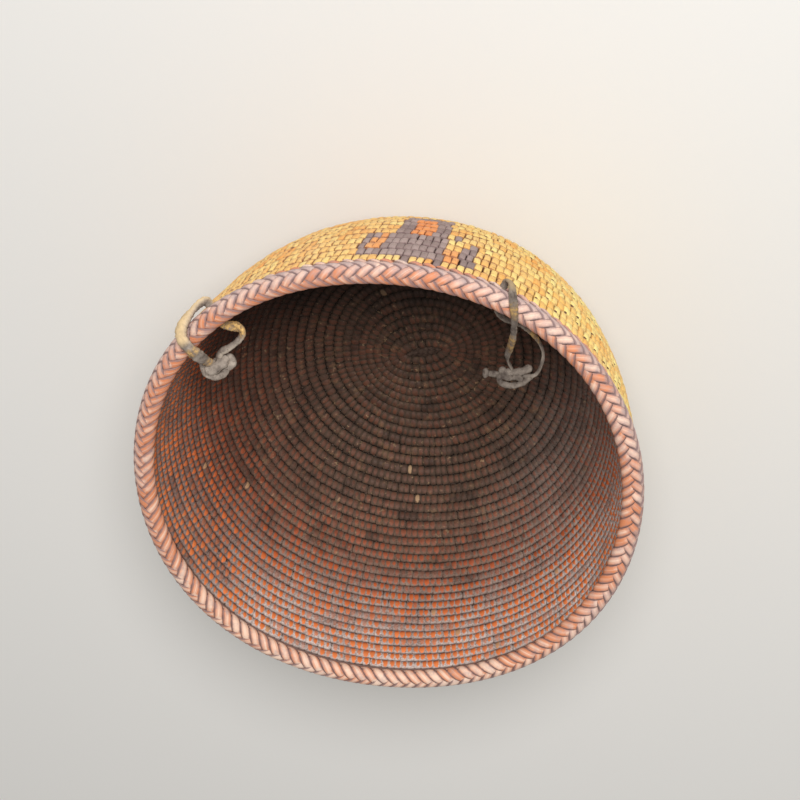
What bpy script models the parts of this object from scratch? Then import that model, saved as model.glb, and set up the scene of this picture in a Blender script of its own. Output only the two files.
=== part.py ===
"""A round coiled basket with a false-braid rim, an imbricated outside and two buckskin thong loops.

The basket stands on its flat base, with +Z up and the middle of the base at the origin. Azimuth 0 is
+X. The coiled wall is one bowl of coils, cut here into the stretches that its maker sewed in turn:
the base, the lower wall, the upper wall and the rim course. The bundle coils, the sewing splints and
the folded strips of the imbrication are too fine to be solids of their own.
"""
import math

import bmesh
import bpy
import numpy as np

MM = 0.001

# Driving dimensions of the bowl, in metres
RIM_RADIUS = 135 * MM          # middle of the braid
RIM_OVAL = 2.0 * MM            # swell of the mouth along its long diagonal
RIM_OVAL_TURN = 40.0           # azimuth of that diagonal, in degrees
RIM_SQUARE = 1.1 * MM          # swell of the mouth at four corners
RIM_SQUARE_TURN = -31.0        # azimuth of one of those corners, in degrees
DEPTH = 157 * MM               # inside, from the floor to the middle of the braid
FLOOR_RADIUS = 45 * MM         # flat of the base
FLOOR_REACH = 45 * MM          # how far the floor's line carries on into the curve of the wall
WALL_REACH = 118 * MM          # how far the mouth's line carries on down into the curve
MOUTH_LEAN = 4.0               # lean of the wall at the mouth, in degrees from upright
WALL = 5.6 * MM                # thickness of a coil
COURSE = 6.2 * MM              # height of a coil along the wall
RIB = 1.6 * MM                 # depth of the groove between two coils, inside
BRAID_WIDTH = 12 * MM
BRAID_HEIGHT = 10 * MM
BRAID_SIDES = 12
RIM_ROUNDING = 1.2 * MM        # corners of the rim course
GAP = 0.3 * MM                 # clearance between neighbouring pieces

# Stretches of the coil, counted in courses down from the rim course
UPPER_COURSE_COUNT = 12
WALL_COURSE_COUNT = 28         # where the wall meets the base

# Imbrication: folded strips of grass and bark caught under the stitches, outside only
SKIN = 1.4 * MM                # how far the folded strips stand proud of the coil
FOLD_ROW = 1.5                 # courses that one row of folded strips covers
FOLD_ROW_START = -0.5          # course on which the first row starts, hanging over the rim course
SKIN_ROW_COUNT = 17            # rows of folded strips, from the rim course down
SKIN_RIB = 0.7 * MM            # depth of the groove between two ridges of the folded strips
RIDGE_ROW_COUNT = 2            # rows that share one ridge here
FOLD_COUNT = 204               # folded strips in one row near the rim
FIGURES = {"front": 279.7, "right": 39.7, "left": 159.7}   # azimuth of each figure's middle fold
COLUMN = 360 / FOLD_COUNT

# Thongs: buckskin strips tied through an awl hole in the rim course
THONG_WIDTH = 6.0 * MM
THONG_THICKNESS = 2.4 * MM
THONG_SIDES = 8
THONG_STEP = 2.0 * MM          # distance between the rings of a strip
HOLE_RADIUS = 2.2 * MM
THONG_NECK = 3.0 * MM          # width of the strip where it is squeezed through the hole
HOLE_NECK = 4.6 * MM           # how far from the hole's middle the strip stays squeezed
BEND_NECK = 0.6 * MM           # the same from the middle of a bend
BEND_GAP = 0.8 * MM            # slack between the strip over the rim and the part that swings
FACING_LIMIT = 0.8             # the strip lies flat to the braid until it points this straight away from it

FACET_COUNT = 60               # facets round the basket
RIM_HEIGHT = WALL + DEPTH      # middle of the braid above the ground
MOUTH_RADIUS = RIM_RADIUS - WALL / 2 - 0.4 * MM

# Routes of the thongs: azimuth in degrees, then millimetres out from the braid's middle and up from it
LEFT_HOLE = (326.5, 0.6, -8.5)
LEFT_OVER_RIM = [(325.9, 6.8, -8.4), (326.5, 10.2, -6.6), (328.9, 11.4, -2.4), (331.6, 9.0, 3.0),
                 (333.0, 4.0, 7.2), (333.8, -3.0, 7.4), (334.7, -9.6, 4.4), (335.8, -14.5, 0.2)]
LEFT_INSIDE = [(327.1, -5.6, -8.6), (327.0, -9.8, -9.8), (325.4, -14.4, -10.6), (325.3, -18.4, -10.4),
               (327.6, -20.4, -9.6), (331.2, -19.8, -8.4), (333.4, -18.4, -7.2)]
LEFT_KNOT = (337.0, -21.5, -5.4)
RIGHT_HOLE = (257.5, 0.6, -8.5)
RIGHT_OVER_RIM = [(257.7, 6.8, -8.4), (256.9, 9.4, -3.6), (255.9, 7.4, 3.6), (253.6, 0.0, 7.6),
                  (251.8, -7.2, 5.6), (250.2, -14.0, 2.2), (248.6, -21.5, -1.4), (246.8, -29.0, -4.6)]
RIGHT_INSIDE = [(257.3, -5.6, -8.6), (255.4, -11.6, -10.0), (252.6, -13.0, -10.4), (249.2, -10.6, -9.6),
                (244.6, -12.0, -8.8), (241.0, -15.4, -8.6), (238.6, -21.0, -8.6), (237.2, -28.0, -8.6)]
RIGHT_KNOT = (240.4, -36.0, -8.0)
RIGHT_TAIL = [(245.6, -42.0, -8.2), (247.6, -45.0, -8.0), (249.4, -47.4, -7.6)]
BEND_INDEX = {"left": 5, "right": 4}   # which point of the strip over the rim lies on the hinge line
KNOT_SEAT = 0.9 * MM           # how near a strip's end comes to its knot
KNOT_SIZE = {"left": (15 * MM, 18 * MM, 11 * MM), "right": (13 * MM, 21 * MM, 10 * MM)}   # in, along, up


def clear_scene():
    for obj in list(bpy.data.objects):
        bpy.data.objects.remove(obj, do_unlink=True)


def material(name, colour, roughness):
    mat = bpy.data.materials.new(name)
    mat.use_nodes = True
    shader = mat.node_tree.nodes["Principled BSDF"]
    shader.inputs["Base Color"].default_value = (*colour, 1.0)
    shader.inputs["Roughness"].default_value = roughness
    shader.inputs["Metallic"].default_value = 0.0
    mat.diffuse_color = (*colour, 1.0)
    return mat


COLOURS = {
    "coil": (0.20, 0.10, 0.055),
    "rim": (0.62, 0.36, 0.24),
    "grass": (0.76, 0.52, 0.18),
    "bark": (0.25, 0.19, 0.18),
    "cherry": (0.70, 0.32, 0.10),
    "thong": (0.42, 0.38, 0.31),
}


def new_object(name, bm, colour, roughness, origin=(0.0, 0.0, 0.0)):
    """Turn a closed mesh into an object whose own origin is at the given place."""
    bmesh.ops.recalc_face_normals(bm, faces=bm.faces)
    bmesh.ops.translate(bm, verts=bm.verts, vec=[-value for value in origin])
    mesh = bpy.data.meshes.new(name)
    bm.to_mesh(mesh)
    bm.free()
    mesh.shade_smooth()
    mesh.set_sharp_from_angle(angle=math.radians(40))
    mesh.materials.append(material(name, COLOURS[colour], roughness))
    obj = bpy.data.objects.new(name, mesh)
    obj.location = origin
    bpy.context.scene.collection.objects.link(obj)
    return obj


# The bowl's shape

def bowl_curve(count=160):
    """Inner surface from the middle of the floor to the mouth: radii, heights, and length so far."""
    lean = math.radians(MOUTH_LEAN)
    start = np.array([FLOOR_RADIUS, WALL])
    floor_pull = start + np.array([FLOOR_REACH, 0.0])
    end = np.array([MOUTH_RADIUS, RIM_HEIGHT])
    wall_pull = end - WALL_REACH * np.array([math.sin(lean), math.cos(lean)])
    t = np.linspace(0.0, 1.0, count)[:, None]
    wall = ((1 - t) ** 3 * start + 3 * (1 - t) ** 2 * t * floor_pull
            + 3 * (1 - t) * t ** 2 * wall_pull + t ** 3 * end)
    radii = np.linspace(0.0, FLOOR_RADIUS, 12)[:-1]
    floor = np.stack([radii, np.full(len(radii), WALL)], axis=1)
    points = np.concatenate([floor, wall])
    steps = np.hypot(*np.diff(points, axis=0).T)
    return points[:, 0], points[:, 1], np.concatenate([[0.0], np.cumsum(steps)])


CURVE_R, CURVE_Z, CURVE_ARC = bowl_curve()
SLOPE_R = np.gradient(CURVE_R, CURVE_ARC)
SLOPE_Z = np.gradient(CURVE_Z, CURVE_ARC)
TOP_ARC = CURVE_ARC[-1] - BRAID_HEIGHT / 2 - GAP      # top of the rim course
SKIN_TOP = TOP_ARC - COURSE                           # top of the first imbricated course


def wall_point(arc, out):
    """Radius and height of a point at a length along the inner surface and a depth out from it."""
    along_r = np.interp(arc, CURVE_ARC, SLOPE_R)
    along_z = np.interp(arc, CURVE_ARC, SLOPE_Z)
    radius = np.interp(arc, CURVE_ARC, CURVE_R) + out * along_z
    height = np.interp(arc, CURVE_ARC, CURVE_Z) - out * along_r
    return radius, height


def mouth_swell(azimuth):
    """How far the rim stands out from a true circle at an azimuth in degrees."""
    oval = RIM_OVAL * math.cos(2 * math.radians(azimuth - RIM_OVAL_TURN))
    square = RIM_SQUARE * math.cos(4 * math.radians(azimuth - RIM_SQUARE_TURN))
    return oval + square


def place(radius, height, azimuth):
    share = min(radius / MOUTH_RADIUS, 1.0)
    reach = radius + share * mouth_swell(azimuth)
    angle = math.radians(azimuth)
    return np.array([reach * math.cos(angle), reach * math.sin(angle), height])


def rim_point(azimuth, out_mm, up_mm):
    """A place given from the braid's middle line."""
    return place(RIM_RADIUS + out_mm * MM, RIM_HEIGHT + up_mm * MM, azimuth)


# Turned pieces of the bowl

def add_ring(bm, radius, height):
    ring = []
    for step in range(FACET_COUNT):
        ring.append(bm.verts.new(place(radius, height, 360 * step / FACET_COUNT)))
    return ring


def join_rings(bm, first, second):
    count = len(first)
    for i in range(count):
        j = (i + 1) % count
        bm.faces.new((first[i], first[j], second[j], second[i]))


def ring_mesh(section):
    """A closed section of radii and heights, carried round the basket."""
    bm = bmesh.new()
    rings = [add_ring(bm, radius, height) for radius, height in section]
    for i, ring in enumerate(rings):
        join_rings(bm, ring, rings[(i + 1) % len(rings)])
    return bm


def disc_mesh(section):
    """A section that starts and ends on the axis, carried round the basket."""
    bm = bmesh.new()
    rings = [add_ring(bm, radius, height) for radius, height in section[1:-1]]
    for first, second in zip(rings, rings[1:]):
        join_rings(bm, first, second)
    for pole_place, ring in ((section[0], rings[0]), (section[-1], rings[-1])):
        pole = bm.verts.new((0.0, 0.0, pole_place[1]))
        for i in range(FACET_COUNT):
            bm.faces.new((pole, ring[i], ring[(i + 1) % FACET_COUNT]))
    return bm


def course_arc(course):
    """Length along the inner surface at a number of courses below the rim course."""
    return SKIN_TOP - course * COURSE


def ribbed_line(top, bottom):
    """Inner line of the wall between two course lines: each coil stands out from the grooves beside it."""
    line = [wall_point(course_arc(top) - GAP / 2, RIB)]
    for course in np.arange(top, bottom):
        if course > top:
            line.append(wall_point(course_arc(course), RIB))
        line.append(wall_point(course_arc(course + 0.5), 0.0))
    return line + [wall_point(course_arc(bottom) + GAP / 2, RIB)]


def wall_section(top, bottom):
    """Section of the wall between two course lines, with a corner on each course line of the skin."""
    between = [course_arc(course) for course in grid_courses() if top < course < bottom]
    arcs = [course_arc(top) - GAP / 2] + between + [course_arc(bottom) + GAP / 2]
    outer = [wall_point(arc, WALL) for arc in arcs]
    return ribbed_line(top, bottom) + outer[::-1]


def build_base():
    end = course_arc(WALL_COURSE_COUNT) - GAP / 2
    arcs = [FLOOR_RADIUS / 2, FLOOR_RADIUS, end]
    top = [(0.0, WALL)] + [wall_point(arc, 0.0) for arc in arcs]
    under = [wall_point(arc, WALL) for arc in arcs[::-1]] + [(0.0, 0.0)]
    return new_object("base_coil", disc_mesh(top + under), "coil", 0.8)


def build_walls():
    lower = wall_section(UPPER_COURSE_COUNT, WALL_COURSE_COUNT)
    new_object("lower_wall_coil", ring_mesh(lower), "coil", 0.8)
    upper = wall_section(0, UPPER_COURSE_COUNT)
    new_object("upper_wall_coil", ring_mesh(upper), "coil", 0.8)


def build_rim_course():
    """The last coil, as thick as the wall with its imbrication, with an awl hole for each thong."""
    start = SKIN_TOP + GAP / 2
    thickness = WALL + GAP + SKIN
    section = [wall_point(start, 0.0), wall_point(TOP_ARC - RIM_ROUNDING, 0.0),
               wall_point(TOP_ARC, RIM_ROUNDING), wall_point(TOP_ARC, thickness - RIM_ROUNDING),
               wall_point(TOP_ARC - RIM_ROUNDING, thickness), wall_point(start + RIM_ROUNDING, thickness),
               wall_point(start, thickness - RIM_ROUNDING)]
    course = new_object("rim_course", ring_mesh(section), "rim", 0.7)
    for side, outside, inside in (("left", LEFT_OVER_RIM[0], LEFT_INSIDE[0]),
                                  ("right", RIGHT_OVER_RIM[0], RIGHT_INSIDE[0])):
        cutter = hole_cutter(side + "_awl_hole", rim_point(*outside), rim_point(*inside))
        cut = course.modifiers.new(side + " awl hole", "BOOLEAN")
        cut.operation = "DIFFERENCE"
        cut.object = cutter
    return course


def hole_cutter(name, start, end):
    """A guide rod that bores an awl hole. It isn't a piece of the basket."""
    bm = bmesh.new()
    rings = tube_rings(bm, [start, (start + end) / 2, end], [HOLE_RADIUS] * 3, [HOLE_RADIUS] * 3, 10)
    cap_tube(bm, rings)
    cutter = new_object(name, bm, "coil", 0.8)
    cutter.hide_render = True
    cutter.display_type = "WIRE"
    return cutter


def build_braid():
    """The false braid over the rim course, as a plain rounded ring."""
    section = []
    for step in range(BRAID_SIDES):
        angle = 2 * math.pi * step / BRAID_SIDES
        section.append((RIM_RADIUS + BRAID_WIDTH / 2 * math.cos(angle),
                        RIM_HEIGHT + BRAID_HEIGHT / 2 * math.sin(angle)))
    return new_object("rim_braid", ring_mesh(section), "rim", 0.65)


# The imbricated skin

def row_course(row):
    """Course line on which a row of folded strips starts."""
    return FOLD_ROW_START + row * FOLD_ROW


def ridge_lift(course):
    """How far the skin's outer face stands out at a course: the strips' full height on a ridge."""
    from_ridge = abs(2 * ((course - FOLD_ROW_START) / (RIDGE_ROW_COUNT * FOLD_ROW) % 1) - 1)
    return SKIN - SKIN_RIB * from_ridge


def ridge_courses(top, bottom):
    """Courses between two lines of the grid where the skin's outer face bends."""
    bends = [row_course(row) for row in np.arange(0, SKIN_ROW_COUNT, RIDGE_ROW_COUNT / 2)]
    return [course for course in bends if top < course < bottom]


def skin_point(azimuth, course, side_azimuth, side_course, out):
    """A corner of a patch, drawn in by half a gap on the sides where the patch ends."""
    arc = course_arc(course) - side_course * GAP / 2
    radius, height = wall_point(arc, out)
    turn = math.degrees(side_azimuth * GAP / 2 / radius)
    return place(radius, height, azimuth + turn)


def skin_mesh(cells, azimuths, courses, closed):
    """A closed patch of skin over the cells (column, row) of a grid of azimuths and courses.

    A closed grid wraps round the basket, so that its last column meets its first.
    """
    cells = set(cells)
    columns = len(azimuths) if closed else len(azimuths) - 1
    bm = bmesh.new()
    verts = {}

    def filled(column, row):
        return ((column % columns) if closed else column, row) in cells

    def corner(column, row, layer):
        column = column % columns if closed else column
        key = (column, row, layer)
        if key not in verts:
            turn = drop = 0
            for step_column in (-1, 0):
                for step_row in (-1, 0):
                    if filled(column + step_column, row + step_row):
                        turn += 1 if step_column == 0 else -1
                        drop += 1 if step_row == 0 else -1
            signs = [(value > 0) - (value < 0) for value in (turn, drop)]
            out = WALL + GAP + layer * ridge_lift(courses[row])
            verts[key] = bm.verts.new(skin_point(azimuths[column], courses[row], *signs, out))
        return verts[key]

    def outer_line(column, row):
        """Corners of the outer face down one side of a cell, bent on each ridge and groove."""
        column = column % columns if closed else column
        side = filled(column, row) - filled(column - 1, row)
        line = [corner(column, row, 1)]
        for course in ridge_courses(courses[row], courses[row + 1]):
            key = (column, course, "bend")
            if key not in verts:
                out = WALL + GAP + ridge_lift(course)
                verts[key] = bm.verts.new(skin_point(azimuths[column], course, side, 0, out))
            line.append(verts[key])
        return line + [corner(column, row + 1, 1)]

    for column, row in sorted(cells):
        left = outer_line(column, row)
        right = outer_line(column + 1, row)
        bm.faces.new([corner(column + i, row + j, 0) for i, j in ((0, 0), (1, 0), (1, 1), (0, 1))])
        for a, b, c, d in zip(left, right, right[1:], left[1:]):
            bm.faces.new([a, b, c, d])
        for step in (0, 1):
            if not filled(column, row - 1 + 2 * step):
                a = (column, row + step)
                b = (column + 1, row + step)
                bm.faces.new([corner(*a, 0), corner(*b, 0), corner(*b, 1), corner(*a, 1)])
            if not filled(column - 1 + 2 * step, row):
                inner = [corner(column + step, row + 1, 0), corner(column + step, row, 0)]
                bm.faces.new(inner + (right if step else left))
    return bm


# One figure as blocks of whole folds: first and last column from its middle fold, first and last row
FIGURE_BLOCKS = {
    "figure": [(-4.5, 3.5, 1, 5), (-4.5, -2.5, 5, 9), (0.5, 2.5, 5, 9), (-4.5, 2.5, 9, 10)],
    "hook": [(3.5, 6.5, 1, 2), (5.5, 6.5, 2, 4), (4.5, 6.5, 4, 5)],
    "bar": [(-8.5, -6.5, 1, 4), (-8.5, -7.5, 4, 5)],
    "inset": [(-2.5, 0.5, 5, 9)],
}
PIECE_COLOUR = {"figure": "bark", "hook": "bark", "bar": "bark", "inset": "cherry"}
PIECE_NAME = {"figure": "bark_figure", "hook": "bark_hook", "bar": "bark_bar", "inset": "cherry_inset"}


def figure_lines():
    columns = sorted({value for blocks in FIGURE_BLOCKS.values() for block in blocks for value in block[:2]})
    rows = sorted({value for blocks in FIGURE_BLOCKS.values() for block in blocks for value in block[2:]})
    return columns, [row_course(row) for row in rows]


def grid_courses():
    """Course lines of the skin and the wall: the figures' own, with plain ones below them."""
    lines = {0, UPPER_COURSE_COUNT, row_course(SKIN_ROW_COUNT), WALL_COURSE_COUNT} | set(figure_lines()[1])
    lines |= {float(line) for line in np.arange(max(figure_lines()[1]), WALL_COURSE_COUNT, 3)}
    return sorted(lines)


def skin_courses():
    return [course for course in grid_courses() if course <= row_course(SKIN_ROW_COUNT)]


def grid_azimuths():
    """Azimuth lines of the skin: the figures' own, with plain ones of the bowl's facets between."""
    spread = 360 / FACET_COUNT
    own = sorted((middle + column * COLUMN) % 360 for middle in FIGURES.values() for column in figure_lines()[0])
    plain = []
    for step in range(FACET_COUNT):
        azimuth = spread * step
        nearest = min(abs((azimuth - line + 180) % 360 - 180) for line in own)
        if nearest > spread / 6:
            plain.append(azimuth)
    return sorted(own + plain)


def block_cells(blocks, middle, azimuths, courses):
    """Cells of the grid whose middles lie in the blocks of the figure round a given azimuth."""
    cells = set()
    for column, azimuth in enumerate(azimuths):
        following = azimuths[(column + 1) % len(azimuths)]
        width = (following - azimuth) % 360
        offset = ((azimuth + width / 2 - middle + 180) % 360 - 180) / COLUMN
        for row in range(len(courses) - 1):
            level = (courses[row] + courses[row + 1]) / 2
            for first, last, top, bottom in blocks:
                if first < offset < last and row_course(top) < level < row_course(bottom):
                    cells.add((column, row))
    return cells


def build_skin():
    azimuths = grid_azimuths()
    courses = skin_courses()
    field = {(column, row) for column in range(len(azimuths)) for row in range(len(courses) - 1)}
    for place_name, middle in FIGURES.items():
        for piece, blocks in FIGURE_BLOCKS.items():
            cells = block_cells(blocks, middle, azimuths, courses)
            field -= cells
            name = PIECE_NAME[piece] + "_" + place_name
            new_object(name, skin_mesh(cells, azimuths, courses, True), PIECE_COLOUR[piece], 0.6)
    return new_object("grass_field", skin_mesh(field, azimuths, courses, True), "grass", 0.55)


# The thongs

def smooth_route(points, spacing):
    """Even points along a smooth curve through the given ones."""
    points = [np.array(point) for point in points]
    ends = [2 * points[0] - points[1]] + points + [2 * points[-1] - points[-2]]
    dense = []
    for a, b, c, d in zip(ends, ends[1:], ends[2:], ends[3:]):
        for t in np.linspace(0.0, 1.0, 12, endpoint=False):
            dense.append(0.5 * (2 * b + (c - a) * t + (2 * a - 5 * b + 4 * c - d) * t ** 2
                                + (3 * b - a - 3 * c + d) * t ** 3))
    dense.append(points[-1])
    dense = np.array(dense)
    length = np.concatenate([[0.0], np.cumsum(np.linalg.norm(np.diff(dense, axis=0), axis=1))])
    count = max(3, round(length[-1] / spacing) + 1)
    even = np.linspace(0.0, length[-1], count)
    return np.stack([np.interp(even, length, dense[:, axis]) for axis in range(3)], axis=1)


def away_from_braid(point):
    """Direction from the braid's middle line to a point near it."""
    azimuth = math.degrees(math.atan2(point[1], point[0]))
    away = point - rim_point(azimuth, 0.0, 0.0)
    return away / np.linalg.norm(away)


def tube_rings(bm, route, half_widths, half_depths, sides):
    """Oval rings square to a route. The flat of the strip faces the braid, or turns with the route."""
    route = np.array(route)
    normal = np.array([0.0, 0.0, -1.0])
    rings = []
    for i, point in enumerate(route):
        ahead = route[min(i + 1, len(route) - 1)] - route[max(i - 1, 0)]
        ahead = ahead / np.linalg.norm(ahead)
        away = away_from_braid(point)
        if abs(away.dot(ahead)) < FACING_LIMIT:
            normal = away
        normal = normal - ahead * normal.dot(ahead)
        normal = normal / np.linalg.norm(normal)
        across = np.cross(ahead, normal)
        ring = []
        for step in range(sides):
            angle = 2 * math.pi * step / sides
            offset = across * half_widths[i] * math.cos(angle) + normal * half_depths[i] * math.sin(angle)
            ring.append(bm.verts.new(point + offset))
        rings.append(ring)
    return rings


def cap_tube(bm, rings):
    for first, second in zip(rings, rings[1:]):
        join_rings(bm, first, second)
    bm.faces.new(rings[0])
    bm.faces.new(rings[-1])


def strip_widths(route, necks):
    """Half width and half depth along a strip, drawn in at each neck: a place and how far it reaches."""
    widths = []
    depths = []
    for point in route:
        share = 1.0
        for neck, reach in necks:
            distance = np.linalg.norm(point - neck)
            share = min(share, max(0.0, (distance - reach) / THONG_WIDTH))
        widths.append((THONG_NECK + (THONG_WIDTH - THONG_NECK) * share) / 2)
        depths.append(THONG_THICKNESS / 2)
    return widths, depths


def strip_object(name, route, necks, origin=(0.0, 0.0, 0.0)):
    bm = bmesh.new()
    widths, depths = strip_widths(route, necks)
    cap_tube(bm, tube_rings(bm, route, widths, depths, THONG_SIDES))
    return new_object(name, bm, "thong", 0.85, origin)


def split_route(route, pivot, axis):
    """Cut a route where it passes the hinge line, with the bend's slack between the two parts."""
    offsets = route - pivot
    distances = np.linalg.norm(offsets - np.outer(offsets @ axis, axis), axis=1)
    nearest = int(np.argmin(distances))
    fixed = route[:nearest + 1].copy()
    moving = route[nearest:].copy()
    fixed[-1] += (fixed[-2] - fixed[-1]) / np.linalg.norm(fixed[-2] - fixed[-1]) * BEND_GAP / 2
    moving[0] += (moving[1] - moving[0]) / np.linalg.norm(moving[1] - moving[0]) * BEND_GAP / 2
    return fixed, moving


def knot_object(name, spot, size, origin):
    """A rounded lump of the knot's size, turned to lie along the rim."""
    bm = bmesh.new()
    bmesh.ops.create_uvsphere(bm, u_segments=14, v_segments=9, radius=0.5)
    centre = rim_point(*spot)
    angle = math.radians(spot[0])
    inward = np.array([math.cos(angle), math.sin(angle), 0.0])
    along = np.array([-math.sin(angle), math.cos(angle), 0.0])
    up = np.array([0.0, 0.0, 1.0])
    for vert in bm.verts:
        x, y, z = vert.co
        vert.co = centre + inward * x * size[0] + along * y * size[1] + up * z * size[2]
    return new_object(name, bm, "thong", 0.85, origin)


def clip_at_knot(route, spot, size):
    """Shorten a strip so that it ends a gap away from the knot's lump."""
    centre = rim_point(*spot)
    angle = math.radians(spot[0])
    turn = np.array([[math.cos(angle), math.sin(angle), 0.0], [-math.sin(angle), math.cos(angle), 0.0],
                     [0.0, 0.0, 1.0]])
    shares = ((route - centre) @ turn.T) / (np.array(size) / 2 + KNOT_SEAT)
    depth = np.linalg.norm(shares, axis=1)
    last = len(route) - 1
    while last > 2 and depth[last - 1] < 1.0:
        last -= 1
    step = (depth[last - 1] - 1.0) / (depth[last - 1] - depth[last])
    end = route[last - 1] + (route[last] - route[last - 1]) * step
    return np.concatenate([route[:last - 1], [end]])


def build_thong(side, hole, over_rim, inside, knot, tail=None):
    """One buckskin strip: over the rim it stays put, and its loop and knot swing where it bends."""
    hole_point = rim_point(*hole)
    outer = smooth_route([hole_point] + [rim_point(*point) for point in over_rim], THONG_STEP)
    inner = smooth_route([hole_point] + [rim_point(*point) for point in inside], THONG_STEP)
    bend_over = rim_point(*over_rim[BEND_INDEX[side]])
    bend_under = rim_point(*inside[0])
    axis = bend_over - bend_under
    axis = axis / np.linalg.norm(axis)
    origin = (bend_over + bend_under) / 2
    outer_fixed, outer_moving = split_route(outer, origin, axis)
    inner_fixed, inner_moving = split_route(inner, origin, axis)
    fixed = np.concatenate([inner_fixed[::-1], outer_fixed[1:]])
    size = KNOT_SIZE[side]
    bends = [(bend_over, BEND_NECK), (bend_under, BEND_NECK)]
    strip_object(side + "_thong_rim_turn", fixed, [(hole_point, HOLE_NECK)] + bends)
    for name, route in (("outer", outer_moving), ("inner", inner_moving)):
        strip_object(side + "_thong_" + name + "_strand", clip_at_knot(route, knot, size), bends, origin)
    knot_object(side + "_thong_knot", knot, size, origin)
    if tail:
        end = smooth_route([rim_point(*knot)] + [rim_point(*point) for point in tail], THONG_STEP)
        strip_object(side + "_thong_tail", clip_at_knot(end[::-1], knot, size), [], origin)
    return origin, axis


def main():
    clear_scene()
    build_base()
    build_walls()
    build_rim_course()
    build_braid()
    build_skin()
    left = build_thong("left", LEFT_HOLE, LEFT_OVER_RIM, LEFT_INSIDE, LEFT_KNOT)
    right = build_thong("right", RIGHT_HOLE, RIGHT_OVER_RIM, RIGHT_INSIDE, RIGHT_KNOT, RIGHT_TAIL)
    for side, (origin, axis) in (("left", left), ("right", right)):
        print(side, "thong hinge at", [round(float(v), 5) for v in origin],
              "along", [round(float(v), 5) for v in axis])


main()
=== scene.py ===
import math
import random

import bpy
import numpy as np
from mathutils import Matrix, Vector


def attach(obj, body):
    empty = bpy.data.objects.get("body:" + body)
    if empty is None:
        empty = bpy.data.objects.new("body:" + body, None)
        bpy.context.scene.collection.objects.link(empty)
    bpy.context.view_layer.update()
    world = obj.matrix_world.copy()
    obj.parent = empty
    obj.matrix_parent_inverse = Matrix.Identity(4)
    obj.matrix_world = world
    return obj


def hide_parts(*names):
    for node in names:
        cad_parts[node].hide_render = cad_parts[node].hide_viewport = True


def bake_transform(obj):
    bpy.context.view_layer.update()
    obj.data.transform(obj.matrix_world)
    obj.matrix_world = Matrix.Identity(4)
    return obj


# Salish basket: coiled cedar root, folded grass and bark outside, a plaited rim and two buckskin thongs
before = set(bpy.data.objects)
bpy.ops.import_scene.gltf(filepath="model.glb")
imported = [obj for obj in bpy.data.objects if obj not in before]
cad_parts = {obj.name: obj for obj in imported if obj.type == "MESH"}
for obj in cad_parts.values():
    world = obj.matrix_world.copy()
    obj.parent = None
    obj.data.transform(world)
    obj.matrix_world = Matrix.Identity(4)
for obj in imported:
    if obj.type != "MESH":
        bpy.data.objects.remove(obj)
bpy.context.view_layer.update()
print("frame loaded")

mm = 0.001
fullTurn = 2 * math.pi

# The bowl, with the sizes of the solids: everything sewn on it follows them
bowl = {
    "rimRadius": 135 * mm,           # middle of the braid
    "depth": 157 * mm,
    "floorRadius": 45 * mm,
    "floorReach": 45 * mm,           # how far the floor's line carries on out into the curve
    "wallReach": 118 * mm,           # how far the mouth's line carries on down into the curve
    "mouthLean": 4.0,                # degrees
    "mouthInset": 0.4 * mm,          # of the wall's middle from the braid's
    "wall": 5.6 * mm,
    "course": 6.2 * mm,
    "braidWidth": 12 * mm,
    "braidHeight": 10 * mm,
    "gap": 0.3 * mm,
    "fold": 1.4 * mm,                # how far the folded strips stand proud
    "oval": 2.0 * mm,
    "ovalTurn": 40.0,
    "square": 1.1 * mm,
    "squareTurn": -31.0,
    "upperCourses": 12,
    "wallCourses": 28,
    "foldRow": 1.5,                  # courses that one row of folded strips covers
    "foldRowStart": -0.5,            # course on which the first row starts, hanging over the rim course
    "foldRows": 17,
    "foldsRound": 204,
    "startHalf": 9 * mm,             # half length of the straight start of the coil
    "startReach": 62 * mm,           # where the rounds have become circles
    "startTurn": 208.0,              # direction of the start, in degrees
    "roundness": 0.96,               # of a coil's face: 1 is a full half circle
    "lineSamples": 160,              # steps along the bowl's line
}
rimHeight = bowl["wall"] + bowl["depth"]
mouthRadius = bowl["rimRadius"] - bowl["wall"] / 2 - bowl["mouthInset"]
mouthLean = math.radians(bowl["mouthLean"])
wallStart = (bowl["floorRadius"], 0.0, bowl["wall"])
wallStartPull = (bowl["floorRadius"] + bowl["floorReach"], 0.0, bowl["wall"])
wallEnd = (mouthRadius, 0.0, rimHeight)
wallEndPull = (mouthRadius - bowl["wallReach"] * math.sin(mouthLean), 0.0,
               rimHeight - bowl["wallReach"] * math.cos(mouthLean))


def wallLength():                    # length of the bowl's line, from the middle of the floor to the mouth
    t = np.linspace(0.0, 1.0, bowl["lineSamples"])[:, None]
    a, b, c, d = (np.array(point) for point in (wallStart, wallStartPull, wallEndPull, wallEnd))
    line = (1 - t) ** 3 * a + 3 * (1 - t) ** 2 * t * b + 3 * (1 - t) * t ** 2 * c + t ** 3 * d
    return bowl["floorRadius"] + float(np.linalg.norm(np.diff(line, axis=0), axis=1).sum())


topArc = wallLength() - bowl["braidHeight"] / 2 - bowl["gap"]
skinTop = topArc - bowl["course"]


def courseArc(course):               # length along the bowl's line, so many courses below the rim course
    return skinTop - course * bowl["course"]


def foldCourse(row):                 # course on which a row of folded strips starts
    return bowl["foldRowStart"] + row * bowl["foldRow"]


baseArc = courseArc(bowl["wallCourses"])
baseRounds = round(baseArc / bowl["course"] - 0.5)
baseCourse = baseArc / (baseRounds + 0.5)


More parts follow.
